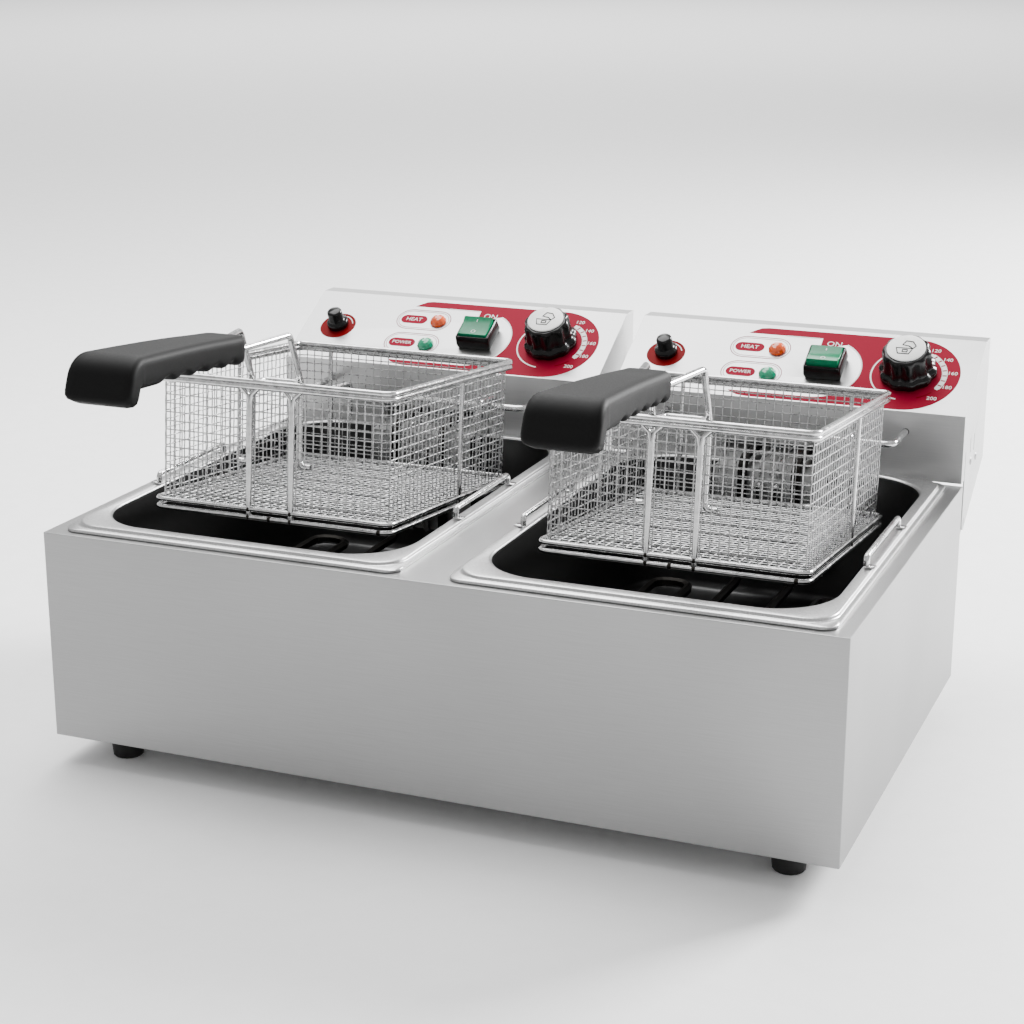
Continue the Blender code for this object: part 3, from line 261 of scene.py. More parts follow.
def add_wires(name, paths, radius, material, body, nodes=(), closed=(), sides=3):
    """Round wires along paths, as one piece; closed lists the paths that are loops."""
    curve = bpy.data.curves.new(name, "CURVE")
    curve.dimensions = "3D"
    curve.bevel_depth = radius
    curve.bevel_resolution = sides
    curve.use_fill_caps = True
    for number, path in enumerate(paths):
        spline = curve.splines.new("POLY")
        spline.points.add(len(path) - 1)
        for point, place in zip(spline.points, path):
            point.co = (*place, 1.0)
        spline.use_cyclic_u = number in closed
        spline.use_smooth = True
    holder = bpy.data.objects.new(name, curve)
    mesh = bpy.data.meshes.new_from_object(holder)
    bpy.data.objects.remove(holder)
    bpy.data.curves.remove(curve)
    mesh.shade_smooth()
    mesh.set_sharp_from_angle(angle=math.radians(60))
    return add_mesh(name, mesh, material, body, nodes)


def rounded_path(points, radius, steps=6):
    """Straight runs joined by arcs."""
    points = [Vector(p) for p in points]
    path = [points[0]]
    for before, corner, after in zip(points, points[1:], points[2:]):
        back, ahead = (before - corner).normalized(), (after - corner).normalized()
        half = back.angle(ahead) / 2
        middle = corner + (back + ahead).normalized() * (radius / math.sin(half))
        first = corner + back * (radius / math.tan(half)) - middle
        last = corner + ahead * (radius / math.tan(half)) - middle
        sweep = first.angle(last)
        for step in range(steps + 1):
            share = step / steps
            mixed = first * math.sin((1 - share) * sweep) + last * math.sin(share * sweep)
            path.append(middle + mixed / math.sin(sweep))
    path.append(points[-1])
    return path


def rounded_loop(low, high, radius, steps=6):
    """Anticlockwise (x, y) points of a rectangle with round corners."""
    (left, front), (right, rear) = low, high
    corners = ((right, rear, -1, -1), (left, rear, 1, -1), (left, front, 1, 1), (right, front, -1, 1))
    points = []
    for quarter, (x, y, inward_x, inward_y) in enumerate(corners):
        centre_x, centre_y = x + inward_x * radius, y + inward_y * radius
        for step in range(steps + 1):
            angle = math.pi / 2 * (quarter + step / steps)
            points.append((centre_x + radius * math.cos(angle), centre_y + radius * math.sin(angle)))
    return points


def add_loop(shape, points):
    """A closed loop of edges through points."""
    corners = [shape.verts.new(p) for p in points]
    return [shape.edges.new((a, b)) for a, b in zip(corners, corners[1:] + corners[:1])]


def skin_loops(loops):
    """A capped skin: the first loop is extruded again and again, and each ring takes the next loop's places."""
    shape = bmesh.new()
    first = edges = add_loop(shape, loops[0])
    shape.verts.ensure_lookup_table()
    order = {vert: number for number, vert in enumerate(shape.verts)}
    for loop in loops[1:]:
        grown = bmesh.ops.extrude_edge_only(shape, edges=edges)["geom"]
        fresh = {}
        for vert in (item for item in grown if isinstance(item, bmesh.types.BMVert)):
            others = (edge.other_vert(vert) for edge in vert.link_edges)
            fresh[vert] = next(order[other] for other in others if other in order)
            vert.co = loop[fresh[vert]]
        edges = [item for item in grown if isinstance(item, bmesh.types.BMEdge)]
        edges = [edge for edge in edges if all(vert in fresh for vert in edge.verts)]
        order = fresh
    for ring in (first, edges):
        bmesh.ops.edgeloop_fill(shape, edges=ring)
    return shape


def turned(profile, steps=48):
    """A profile of (radius, height) in millimetres spun about Z."""
    shape = bmesh.new()
    corners = [shape.verts.new((r * MM, 0, z * MM)) for r, z in profile]
    edges = [shape.edges.new(pair) for pair in zip(corners, corners[1:])]
    axis = {"cent": (0, 0, 0), "axis": (0, 0, 1), "angle": 2 * math.pi}
    bmesh.ops.spin(shape, geom=corners + edges, steps=steps, use_merge=True, **axis)
    bmesh.ops.remove_doubles(shape, verts=shape.verts, dist=1e-6)
    return shape


def moved(shape, place):
    bmesh.ops.transform(shape, matrix=place, verts=shape.verts)
    return shape


def join(shapes):
    """Several bmeshes as one."""
    whole = bmesh.new()
    for shape in shapes:
        mesh = bpy.data.meshes.new("part")
        shape.to_mesh(mesh)
        shape.free()
        whole.from_mesh(mesh)
        bpy.data.meshes.remove(mesh)
    return whole


def broken_edges(node, width, material, sharp=30, shade=20):
    """A CAD node with its flat faces whole again and its edges broken by a small radius.

    Sharp is the least angle in degrees that is rounded, and shade the least that is drawn as an edge.
    """
    shape = bmesh.new()
    shape.from_mesh(frame["nodes"][node].data)
    bmesh.ops.remove_doubles(shape, verts=shape.verts, dist=1e-5)
    bmesh.ops.dissolve_limit(shape, angle_limit=math.radians(0.5), verts=shape.verts, edges=shape.edges)
    edges = [e for e in shape.edges if e.is_manifold and e.calc_face_angle(0) > math.radians(sharp)]
    finish = {"segments": 2, "profile": 0.5, "affect": "EDGES", "material": -1, "clamp_overlap": True}
    bmesh.ops.bevel(shape, geom=edges, offset=width, **finish)
    return add_piece(f"{node}_finished", shape, material, body_of(node), [node], shade)


def body_of(node):
    return next(body for body, nodes in frame["record"]["behaviour"]["bodies"].items() if node in nodes)


def give(node, material):
    """Gives a CAD node that keeps its shape its finish."""
    slots = frame["nodes"][node].data.materials
    slots.clear()
    slots.append(material)


# Oil tanks, in millimetres: the flange's width beside, before and behind the mouth, the radii of the corners
# of the mouth and of the flange, and the sheet's thickness

FLANGE_SIDE, FLANGE_FRONT, FLANGE_REAR = 10.9, 13.5, 7.0
MOUTH_CORNER, FLANGE_CORNER = 45.0, 10.0
TANK_SHEET = 1.0

# The flange's section from under its outer edge to the lip: share of its width out from the mouth, and height
# from its top
FLANGE_SECTION = (
    (1.0, -4.7), (1.0, -3.4), (0.975, -2.8), (0.78, -2.4), (0.74, -2.2), (0.72, -1.6), (0.71, -0.6),
    (0.68, -0.1), (0.64, 0.0), (0.10, 0.0), (0.04, -0.4), (0.0, -1.4),
)
# The turn from the walls into the floor, outside and inside: inset from the mouth, and height above the floor
OUTER_FOOT = ((14, 0), (9, 2), (7, 7))
INNER_FOOT = ((8, 7), (9.5, 2.5), (14, 0))


def tank_mouth(box):
    """The two corners (x, y) of the tank's mouth."""
    low, high = box
    front_left = (low[0] + FLANGE_SIDE * MM, low[1] + FLANGE_FRONT * MM)
    return front_left, (high[0] - FLANGE_SIDE * MM, high[1] - FLANGE_REAR * MM)


def well_loop(mouth, inset, z):
    """A level loop of the well, an inset in millimetres within the mouth."""
    (left, front), (right, rear) = mouth
    low, high = (left + inset * MM, front + inset * MM), (right - inset * MM, rear - inset * MM)
    return [(x, y, z) for x, y in rounded_loop(low, high, (MOUTH_CORNER - inset) * MM, 12)]


def flange_loop(box, share, z):
    """A loop between the tank's mouth, at share 0, and the outer edge of its flange, at share 1."""
    inset = (1 - share) * MM
    low = (box[0][0] + FLANGE_SIDE * inset, box[0][1] + FLANGE_FRONT * inset)
    high = (box[1][0] - FLANGE_SIDE * inset, box[1][1] - FLANGE_REAR * inset)
    radius = MOUTH_CORNER + (FLANGE_CORNER - MOUTH_CORNER) * share
    return [(x, y, z) for x, y in rounded_loop(low, high, radius * MM, 12)]


def oil_tank(side):
    """Pressed tank: a stepped flange round a deep well with wide corners."""
    node = f"oil_tank_{side}"
    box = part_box(node)
    mouth = tank_mouth(box)
    floor, top = box[0][2], box[1][2]
    # Up the outside of the well, round the flange, and down the inside
    loops = [well_loop(mouth, inset, floor + z * MM) for inset, z in OUTER_FOOT]
    loops.append(well_loop(mouth, -TANK_SHEET, top + FLANGE_SECTION[0][1] * MM))
    loops += [flange_loop(box, share, top + z * MM) for share, z in FLANGE_SECTION]
    loops.append(well_loop(mouth, 0.3, top - 3 * MM))
    loops += [well_loop(mouth, inset, floor + (TANK_SHEET + z) * MM) for inset, z in INNER_FOOT]
    piece = add_piece(f"pressed_tank_{side}", skin_loops(loops), TANK, "housing", [node], 50)
    mark_inside(piece.data, *mouth)


def mark_inside(mesh, low, high):
    """Marks the points within the mouth, which the tank's painted shade reads."""
    margin = 0.1 * MM
    marks = mesh.attributes.new("inside", "FLOAT", "POINT")
    for vert in mesh.vertices:
        x, y, _ = vert.co
        within = low[0] - margin < x < high[0] + margin and low[1] - margin < y < high[1] + margin
        marks.data[vert.index].value = float(within)


def lift_rails(side):
    """Bent wire rails with flattened feet welded to the flange."""
    radius = 2 * MM
    foot_length, foot_width, foot_thickness = 7 * MM, 6 * MM, 1.2 * MM
    finish = {"offset": 0.5 * MM, "segments": 2, "profile": 0.5, "affect": "EDGES", "material": -1}
    for edge, outward in (("a", -1), ("b", 1)):
        node = f"lift_rail_{side}_{edge}"
        low, high = (Vector(corner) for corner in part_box(node))
        x = (low.x + high.x) / 2
        front, rear = low.y + radius, high.y - radius
        foot, top = low.z + foot_thickness / 2, high.z - radius
        corners = [(x, front, foot), (x, front, top), (x, rear, top), (x, rear, foot)]
        path = rounded_path(corners, 3 * MM)
        add_wires(f"lift_wire_{side}_{edge}", [path], radius, WIRE, "housing", [node])
        shape = bmesh.new()
        size = Matrix.Diagonal((foot_length, foot_width, foot_thickness, 1.0))
        for y in (front, rear):
            place = Matrix.Translation((x + outward * 2.5 * MM, y, foot))
            bmesh.ops.create_cube(shape, size=1.0, matrix=place @ size)
        bmesh.ops.bevel(shape, geom=shape.edges[:], **finish)
        add_piece(f"lift_feet_{side}_{edge}", shape, WIRE, "housing")


# Control heads


def face_place(side):
    """From the control face's own axes (right, up the slope, out of the face) to the frame's."""
    low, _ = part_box(f"control_casing_{side}")
    under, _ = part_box(f"rear_cover_{side}")
    origin = Vector((low[0], low[1], under[2] + FACE_RISE))
    return Matrix.Translation(origin) @ Matrix.Rotation(FACE_ANGLE, 4, "X")


def in_millimetres(points, height):
    """Points (x, v) in millimetres as places at a height over the face."""
    return [Vector((x * MM, v * MM, height * MM)) for x, v in points]


def arc_points(centre, radius, start, end, steps=24):
    """Points (x, v) in millimetres on an arc, with its angles in degrees."""
    angles = [math.radians(start + (end - start) * i / steps) for i in range(steps + 1)]
    return [(centre[0] + radius * math.cos(a), centre[1] + radius * math.sin(a)) for a in angles]


# Heights above the face, in millimetres, of prints on the steel, prints on those, ticks and letters, far enough
# apart that no two surfaces meet, and the ink's thickness
PRINT, OVERPRINT, TICKS, LETTERS = 0.05, 0.1, 0.14, 0.12
INK = 0.03


def printed(name, outlines, side, material, height=PRINT):
    """Flat ink areas on the control face, each a closed outline in millimetres, a hair thick."""
    shape = bmesh.new()
    for outline in outlines:
        edges = add_loop(shape, in_millimetres(outline, height))
        filled = bmesh.ops.triangle_fill(shape, edges=edges, use_beauty=True)
        faces = [item for item in filled["geom"] if isinstance(item, bmesh.types.BMFace)]
        grown = bmesh.ops.extrude_face_region(shape, geom=faces)
        verts = [item for item in grown["geom"] if isinstance(item, bmesh.types.BMVert)]
        bmesh.ops.translate(shape, verts=verts, vec=(0, 0, INK * MM))
    moved(shape, face_place(side))
    add_piece(f"{name}_{side}", shape, material, f"head_{side}", sharp=20)


def strip(points, width):
    """An outline of even width along an open path of (x, v) points."""
    left, right = [], []
    for i, point in enumerate(points):
        before, after = points[max(i - 1, 0)], points[min(i + 1, len(points) - 1)]
        run = Vector((after[0] - before[0], after[1] - before[1])).normalized()
        left.append((point[0] - run.y * width / 2, point[1] + run.x * width / 2))
        right.append((point[0] + run.y * width / 2, point[1] - run.x * width / 2))
    return left + right[::-1]


def legend(name, text, size, centre, side, material):
    """A short printed word or number on the control face."""
    curve = bpy.data.curves.new(name, "FONT")
    curve.body = text
    curve.size = size * MM
    curve.align_x = "CENTER"
    curve.align_y = "CENTER"
    curve.extrude = INK / 2 * MM
    curve.resolution_u = 3
    holder = bpy.data.objects.new(name, curve)
    mesh = bpy.data.meshes.new_from_object(holder)
    bpy.data.objects.remove(holder)
    mesh.transform(face_place(side) @ Matrix.Translation(in_millimetres([centre], LETTERS)[0]))
    add_mesh(f"{name}_{side}", mesh, material, f"head_{side}")


# Places and radii of the prints, in millimetres right from the face's left edge and up its slope
DIAL = (217.3, 39.2)
DIAL_EDGE = (216.3, 39.8)
DIAL_RADIUS = 38.7
SWITCH_FIELD = (150.0, 38.5)
FIELD_RADIUS = 32.0
BAND_TIP = (88.0, 71.4)
STEP_X = 145.8
RESET_DISC = (30.0, 40.5)
LAMP_X = 101.0


def red_field(side):
    """One red area: a band above and below the switch that closes round the dial."""
    top = DIAL_EDGE[1] + DIAL_RADIUS
    bottom = DIAL_EDGE[1] - DIAL_RADIUS
    outer = [BAND_TIP, (92, 74.5), (96.5, top - 0.9), (102, top)]
    outer += arc_points(DIAL_EDGE, DIAL_RADIUS, 90, -90, 40)
    outer += [(104, bottom), (96, bottom + 1.0), (91, bottom + 3.4), (88.5, SWITCH_FIELD[1] - FIELD_RADIUS)]
    hollow = arc_points(SWITCH_FIELD, FIELD_RADIUS, -90, 60, 32)
    printed("red_field", [outer + hollow + [(STEP_X, 60.0), (STEP_X, BAND_TIP[1])]], side, RED_PRINT)
    printed("field_edge", [strip(hollow, 0.9)], side, WHITE_PRINT, OVERPRINT)
    step = [(118, BAND_TIP[1] - 0.3), (STEP_X, BAND_TIP[1] - 0.3), (STEP_X, 61)]
    printed("field_step", [strip(step, 0.8)], side, WHITE_PRINT, OVERPRINT)


def dial(side):
    """White scale ring, ladder of ticks and temperatures round the knob."""
    printed("dial_ring", [strip(arc_points(DIAL, 27.4, 95, 262, 40), 1.1)], side, WHITE_PRINT, OVERPRINT)
    rails = [strip(arc_points(DIAL, radius, -28, 58, 24), 0.45) for radius in (24.6, 28.2)]
    printed("dial_rails", rails, side, WHITE_PRINT, OVERPRINT)
    rungs = []
    for number in range(8):
        middle = -26 + 12 * number
        start, end = middle - 4.6, middle + 4.6
        rungs.append(arc_points(DIAL, 24.9, start, end, 3) + arc_points(DIAL, 27.9, end, start, 3))
    printed("dial_ticks", rungs, side, WHITE_PRINT, TICKS)
    low_end = arc_points(DIAL, 26.4, -40, -66, 8)
    printed("dial_end", [strip(low_end, 0.9)], side, DARK_RED_PRINT, OVERPRINT)
    for number, degrees in enumerate((62, 37, 9, -19, -47)):
        place = arc_points(DIAL, 32.0, degrees, degrees, 1)[0]
        legend(f"dial_number_{number}", str(120 + 20 * number), 5.0, place, side, WHITE_PRINT)


def pill(centre, half_length, radius):
    """A level outline with round ends."""
    left = arc_points((centre[0] - half_length + radius, centre[1]), radius, 90, 270, 16)
    right = arc_points((centre[0] + half_length - radius, centre[1]), radius, -90, 90, 16)
    return left + right


def lamp_fields(side):
    """Outlined fields round the two lamps, each with a red tag."""
    for name, text, size, v in (("heat", "HEAT", 5.6, 55.6), ("power", "POWER", 4.8, 27.4)):
        for number, (radius, width) in enumerate(((11.6, 0.7), (9.9, 0.45))):
            # The line starts and ends in the middle of the top, a hair apart.
            top = v + radius
            edge = pill((LAMP_X, v), 11.6 + radius, radius)
            line = [(LAMP_X - 0.02, top), *edge, (LAMP_X + 0.02, top)]
            printed(f"{name}_outline_{number}", [strip(line, width)], side, GREY_PRINT)
        printed(f"{name}_tag", [pill((92.6, v), 11.4, 4.9)], side, RED_PRINT)
        legend(f"{name}_word", text, size, (92.6, v), side, WHITE_PRINT)
    legend("on_word", "ON", 7.5, (156.0, 65.8), side, WHITE_PRINT)


def reset_field(side):
    """Dark red disc under the reset cap, with a short white arc."""
    printed("reset_disc", [arc_points(RESET_DISC, 15.0, 0, 360, 48)[:-1]], side, DARK_RED_PRINT)
    printed("reset_arc", [strip(arc_points(RESET_DISC, 12.2, 20, 75, 12), 0.7)], side, WHITE_PRINT, OVERPRINT)


def lobed_loops(rows, lobes, steps):
    """Loops of a round moulding with lobes, from rows of radius, height and the depth between its lobes."""
    count = lobes * steps
    loops = []
    for radius, z, depth in rows:
        loop = []
        for number in range(count):
            angle = 2 * math.pi * number / count
            r = radius - depth * (0.5 - 0.5 * math.cos(lobes * angle)) ** 1.5
            loop.append((r * math.cos(angle) * MM, r * math.sin(angle) * MM, z * MM))
        loops.append(loop)
    return loops


def axis_place(node, side):
    """The face's axes moved to the middle of a round node on it."""
    place = face_place(side)
    back = place.inverted()
    points = [back @ v.co for v in frame["nodes"][node].data.vertices]
    middle = [(min(p[i] for p in points) + max(p[i] for p in points)) / 2 for i in (0, 1)]
    return place @ Matrix.Translation((*middle, 0.0))


# Knob, in millimetres: radius, height and depth between the lobes, from inside the skirt to the top
KNOB_ROWS = (
    (3.4, 14.0, 0.0), (3.4, 1.5, 0.0), (20.6, 1.5, 1.0), (21.2, 2.2, 1.3), (21.3, 6.4, 1.7), (20.6, 7.6, 1.8),
    (19.2, 8.4, 1.8), (18.6, 9.4, 1.8), (18.3, 12.0, 1.8), (18.0, 21.5, 1.7), (17.3, 23.6, 1.1),
    (16.2, 24.6, 0.5), (15.2, 24.9, 0.1), (14.4, 24.95, 0.0), (0.6, 24.96, 0.0),
)
DISC_TOP = 26.7
DISC_PROFILE = ((0, 25.3), (14.0, 25.3), (14.0, 26.2), (13.2, 26.6), (0, DISC_TOP))
# Small basket, in millimetres: its tub, the heap above it, and a square on the tub's side
KNOB_ICON = (
    ((-7, -1), (-5, -7), (3, -7), (5, -1)),
    ((-3, 2.5), (-1, 7), (4, 6.5), (7, 2), (5, -1), (2, 1.5)),
    ((-2, -5), (1.5, -5), (1.5, -2.5), (-2, -2.5)),
)


def knob(side):
    """Moulded knob: a scalloped skirt, a narrower lobed grip and a white disc with a small basket on it."""
    place = axis_place(f"thermostat_knob_{side}", side)
    body = f"knob_{side}"
    shape = moved(skin_loops(lobed_loops(KNOB_ROWS, 10, 12)), place)
    nodes = [f"thermostat_knob_{side}"]
    add_piece(f"knob_moulding_{side}", shape, GLOSS_BLACK, body, nodes, 40)
    disc = moved(turned(DISC_PROFILE), place)
    add_piece(f"knob_disc_{side}", disc, WHITE, body, [f"knob_cap_{side}"], 40)
    paths = [[place @ point for point in in_millimetres(line, DISC_TOP)] for line in KNOB_ICON]
    closed = range(len(KNOB_ICON))
    add_wires(f"knob_icon_{side}", paths, 0.5 * MM, DARK_PRINT, body, (), closed, sides=1)


# Switch, in millimetres: height, half width, half depth and corner radius of the surround, up its outside and
# down its inside
SURROUND_ROWS = (
    (0, 13.4, 12.1, 1.2), (3, 14.4, 13.1, 2.0), (4.5, 14.4, 13.1, 2.0), (11.0, 13.8, 12.5, 1.8),
    (12.0, 13.2, 11.9, 1.6), (12.0, 12.6, 11.5, 1.0), (3.0, 12.6, 11.5, 1.0),
)
# The rocker's section, dished on top and round below, and its ends: place along the pivot and size
ROCKER_SECTION = (
    (-9.8, -1.0), (-9.8, 4.6), (-9.2, 5.5), (-5, 4.5), (0, 4.1), (5, 4.5), (9.2, 5.5), (9.8, 4.6), (9.8, -1.0),
    (6, -3.2), (0, -4.2), (-6, -3.2),
)
ROCKER_ENDS = ((-11.9, 0.9), (-11.6, 0.975), (-11.0, 1.0), (11.0, 1.0), (11.6, 0.975), (11.9, 0.9))
ROCKER_PIVOT = 9.5
ROCKER_TILT = 8


def rocker_switch(side):
    """Tall black surround with a sloping collar."""
    place = axis_place(f"switch_body_{side}", side)
    loops = []
    for z, half_x, half_y, radius in SURROUND_ROWS:
        outline = rounded_loop((-half_x * MM, -half_y * MM), (half_x * MM, half_y * MM), radius * MM, 4)
        loops.append([(x, y, z * MM) for x, y in outline])
    shape = moved(skin_loops(loops), place)
    nodes = [f"switch_body_{side}"]
    add_piece(f"switch_surround_{side}", shape, GLOSS_BLACK, f"head_{side}", nodes, 40)
    rest = math.radians(ROCKER_TILT if side == "left" else -ROCKER_TILT)
    rocker(side, place @ Matrix.Translation((0, 0, ROCKER_PIVOT * MM)) @ Matrix.Rotation(rest, 4, "X"))


def rocker(side, place):
    """Green rocker with a ring and a bar for off and on."""
    body = f"rocker_{side}"
    loops = []
    for x, scale in ROCKER_ENDS:
        loops.append([(x * MM, y * scale * MM, z * (scale if z > 0 else 1) * MM) for y, z in ROCKER_SECTION])
    add_piece(f"rocker_lens_{side}", moved(skin_loops(loops), place), GREEN, body, [body], 40)
    ring = arc_points((0, -5.4), 1.6, 0, 345, 23)
    # The marks follow the dish of the section.
    paths = []
    for line in (ring, [(0, 4.6), (0, 7.0)]):
        paths.append([place @ Vector((x * MM, y * MM, (4.1 + 0.01375 * y * y) * MM)) for x, y in line])
    add_wires(f"rocker_marks_{side}", paths, 0.35 * MM, WHITE_PRINT, body, closed=(0,), sides=1)


# Lamp lens, in millimetres: radius and height, from the foot of the stem to the top of the dome
LENS_PROFILE = (
    (0, -18), (4.4, -18), (4.4, 0.35), (6.7, 0.35), (6.7, 1.6), (6.3, 2.2), (5.4, 3.6), (3.6, 5.0), (1.6, 5.7),
    (0, 5.8),
)


def lamp(side, name, lens):
    """Lamp with a domed lens of twelve facets on a thin collar."""
    node = f"{name}_lamp_{side}"
    shape = moved(turned(LENS_PROFILE, 12), axis_place(node, side))
    add_piece(f"{name}_lens_{side}", shape, lens, f"head_{side}", [node], 12)


# Reset cap, in millimetres: radius, height and depth of the knurling, from inside the skirt to the top
CAP_ROWS = (
    (4.7, 9.8, 0), (4.7, 0.6, 0), (8.2, 0.6, 0.2), (8.7, 1.2, 0.35), (8.7, 5.0, 0.35), (8.1, 5.8, 0.1),
    (6.6, 6.4, 0), (6.1, 7.4, 0.15), (6.1, 14.2, 0.15), (5.7, 15.2, 0.1), (4.6, 15.9, 0), (0.4, 16.0, 0),
)


def reset_cap(side):
    """Turned cap: a knurled skirt under a nearly smooth barrel."""
    node = f"reset_cap_{side}"
    shape = moved(skin_loops(lobed_loops(CAP_ROWS, 18, 4)), axis_place(node, side))
    add_piece(f"reset_cover_{side}", shape, GLOSS_BLACK, node, [node], 40)


def hanger(side):
    """Wire hoop on the head's front that the basket's hooks rest on."""
    node = f"basket_hanger_{side}"
    low, high = (Vector(corner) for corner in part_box(node))
    radius = 2.5 * MM
    z = (low.z + high.z) / 2
    corners = [(low.x + radius, high.y, z), (low.x + radius, low.y + radius, z)]
    corners += [(high.x - radius, low.y + radius, z), (high.x - radius, high.y, z)]
    add_wires(f"hanger_wire_{side}", [rounded_path(corners, 7 * MM, 8)], radius, WIRE, f"head_{side}", [node])


# Side screws, in millimetres: the head's profile, its places behind the casing's front and above the head's
# underside, and how deep it sits
SCREW_PROFILE = ((0, 0), (3.2, 0), (3.2, 0.5), (2.4, 1.4), (0, 1.8))
SCREW_PLACES = ((33, 9), (53, 8))
SCREW_SINK = 0.85


def side_screws(side):
    """Pan-head screws that hold the rear cover through the casing's sides."""
    low, high = (Vector(corner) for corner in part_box(f"control_casing_{side}"))
    under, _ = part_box(f"rear_cover_{side}")
    shapes = []
    for hand, x in ((-1, low.x), (1, high.x)):
        turn = Matrix.Rotation(hand * math.pi / 2, 4, "Y")
        for behind, above in SCREW_PLACES:
            spot = (x - hand * SCREW_SINK * MM, low.y + behind * MM, under[2] + above * MM)
            shapes.append(moved(turned(SCREW_PROFILE, 20), Matrix.Translation(spot) @ turn))
    add_piece(f"side_screws_{side}", join(shapes), ZINC, f"head_{side}")


# Baskets: outside, the woven tub within it, the mesh, and the radii of the wires

BASKET_WIDTH = 182 * MM
BASKET_DEPTH = 213.5 * MM
BASKET_HEIGHT = 96.5 * MM
FRAME_CORNER = 7 * MM
TUB_INSET = 4.9 * MM
TUB_FLOOR = 6.9 * MM
TUB_TOP = 92.1 * MM
TUB_CORNER = 5 * MM
MESH_PITCH = 6.3 * MM
MESH_WIRE = 0.44 * MM
CRIMP = MESH_WIRE * 0.3
RIM_WIRE = 2.0 * MM
RING_WIRE = 1.75 * MM
BAR_WIRE = 1.5 * MM
# Places of the bars left and right of the middle, in millimetres
FRONT_BAR_X = 16
REAR_BAR_X = 62


def basket_place(side):
    """From the basket's own axes to the frame's: origin at the middle of its lower front edge."""
    axis = next(joint["axis"] for joint in frame["joints"] if joint["name"] == f"basket_lift_{side}")
    turn = Matrix.Rotation(-math.atan2(axis[1], axis[2]), 4, "X")
    back = turn.inverted()
    points = [back @ v.co for v in frame["nodes"][f"basket_frame_{side}"].data.vertices]
    low = [min(p[i] for p in points) for i in range(3)]
    high = max(p.x for p in points)
    return turn @ Matrix.Translation(((low[0] + high) / 2, low[1], low[2]))


def along_loop(loop, distance):
    """The point and outward direction at a distance along a closed loop."""
    count = len(loop)
    for i in range(count):
        a, b = Vector(loop[i]), Vector(loop[(i + 1) % count])
        length = (b - a).length
        if distance <= length:
            run = (b - a).normalized()
            return a + run * distance, Vector((run.y, -run.x))
        distance -= length
    return Vector(loop[0]), Vector((0, -1))


def wall_wires(low, high):
    """Uprights and hoops of the walls, pushed out and in by turns where they cross."""
    loop = rounded_loop(low, high, TUB_CORNER, 5)
    length = sum((Vector(a) - Vector(b)).length for a, b in zip(loop, loop[1:] + loop[:1]))
    uprights = 2 * round(length / MESH_PITCH / 2)
    rows = round((TUB_TOP - TUB_FLOOR) / MESH_PITCH)
    stations = [along_loop(loop, length * number / uprights) for number in range(uprights)]

    def crossing(number, row, outward):
        spot, away = stations[number]
        point = spot + away * CRIMP * outward * (-1) ** (number + row)
        return point.x, point.y, TUB_FLOOR + (TUB_TOP - TUB_FLOOR) * row / rows

    walls = [[crossing(number, row, 1) for row in range(rows + 1)] for number in range(uprights)]
    hoops = [[crossing(number, row, -1) for number in range(uprights)] for row in range(rows + 1)]
    return walls, hoops


def floor_wires(low, high):
    """A square grid, its wires pushed up and down by turns where they cross."""
    columns = round((high.x - low.x) / MESH_PITCH)
    lines = round((high.y - low.y) / MESH_PITCH)
    xs = [low.x + (high.x - low.x) * i / columns for i in range(1, columns)]
    ys = [low.y + (high.y - low.y) * j / lines for j in range(1, lines)]
    wires = []
    for i, x in enumerate(xs):
        crossings = [(x, y, TUB_FLOOR + CRIMP * (-1) ** (i + j)) for j, y in enumerate(ys)]
        wires.append([(x, low.y, TUB_FLOOR), *crossings, (x, high.y, TUB_FLOOR)])
    for j, y in enumerate(ys):
        crossings = [(x, y, TUB_FLOOR - CRIMP * (-1) ** (i + j)) for i, x in enumerate(xs)]
        wires.append([(low.x, y, TUB_FLOOR), *crossings, (high.x, y, TUB_FLOOR)])
    return wires


def basket_weave(side):
    """Plain-woven crimped wire: uprights and hoops in the walls, a square grid in the floor."""
    place = basket_place(side)
    low = Vector((TUB_INSET - BASKET_WIDTH / 2, TUB_INSET))
    high = Vector((BASKET_WIDTH / 2 - TUB_INSET, BASKET_DEPTH - TUB_INSET))
    uprights, hoops = wall_wires(low, high)
    wires = uprights + hoops + floor_wires(low, high)
    paths = [[place @ Vector(point) for point in wire] for wire in wires]
    closed = range(len(uprights), len(uprights) + len(hoops))
    body, nodes = f"basket_{side}", [f"basket_mesh_{side}"]
    add_wires(f"basket_weave_{side}", paths, MESH_WIRE, WEAVE, body, nodes, closed, sides=1)


def frame_loop(inset, z):
    """A level loop of wire, its middle an inset within the basket's outside."""
    low = (inset - BASKET_WIDTH / 2, inset)
    high = (BASKET_WIDTH / 2 - inset, BASKET_DEPTH - inset)
    return [Vector((x, y, z)) for x, y in rounded_loop(low, high, FRAME_CORNER, 8)]


def frame_bars():
    """Forked pairs at the front, single bars at the sides and rear, and the keeper loop behind the rim."""
    bars = []
    for x in (-FRONT_BAR_X, FRONT_BAR_X):
        for fork in (-1, 1):
            run = ((0.6, 2), (0.6, 80), (1.6, 85.5), (6.5, 90))
            path = [((x + fork * apart) * MM, RIM_WIRE - 0.2 * MM, z * MM) for apart, z in run]
            bars.append(rounded_path(path, 4 * MM, 5))
    side_x = BASKET_WIDTH / 2 - RIM_WIRE
    spots = [(-side_x, 117 * MM), (side_x, 117 * MM)]
    spots += [(x * MM, BASKET_DEPTH - RIM_WIRE) for x in (-REAR_BAR_X, REAR_BAR_X)]
    bars += [[Vector((x, y, 2 * MM)), Vector((x, y, 91 * MM))] for x, y in spots]
    z = BASKET_HEIGHT - RIM_WIRE
    keeper = [(-13.5, 2.0), (-13.5, 18.5), (13.5, 18.5), (13.5, 2.0)]
    return bars + [rounded_path([(x * MM, y * MM, z) for x, y in keeper], 4 * MM)]


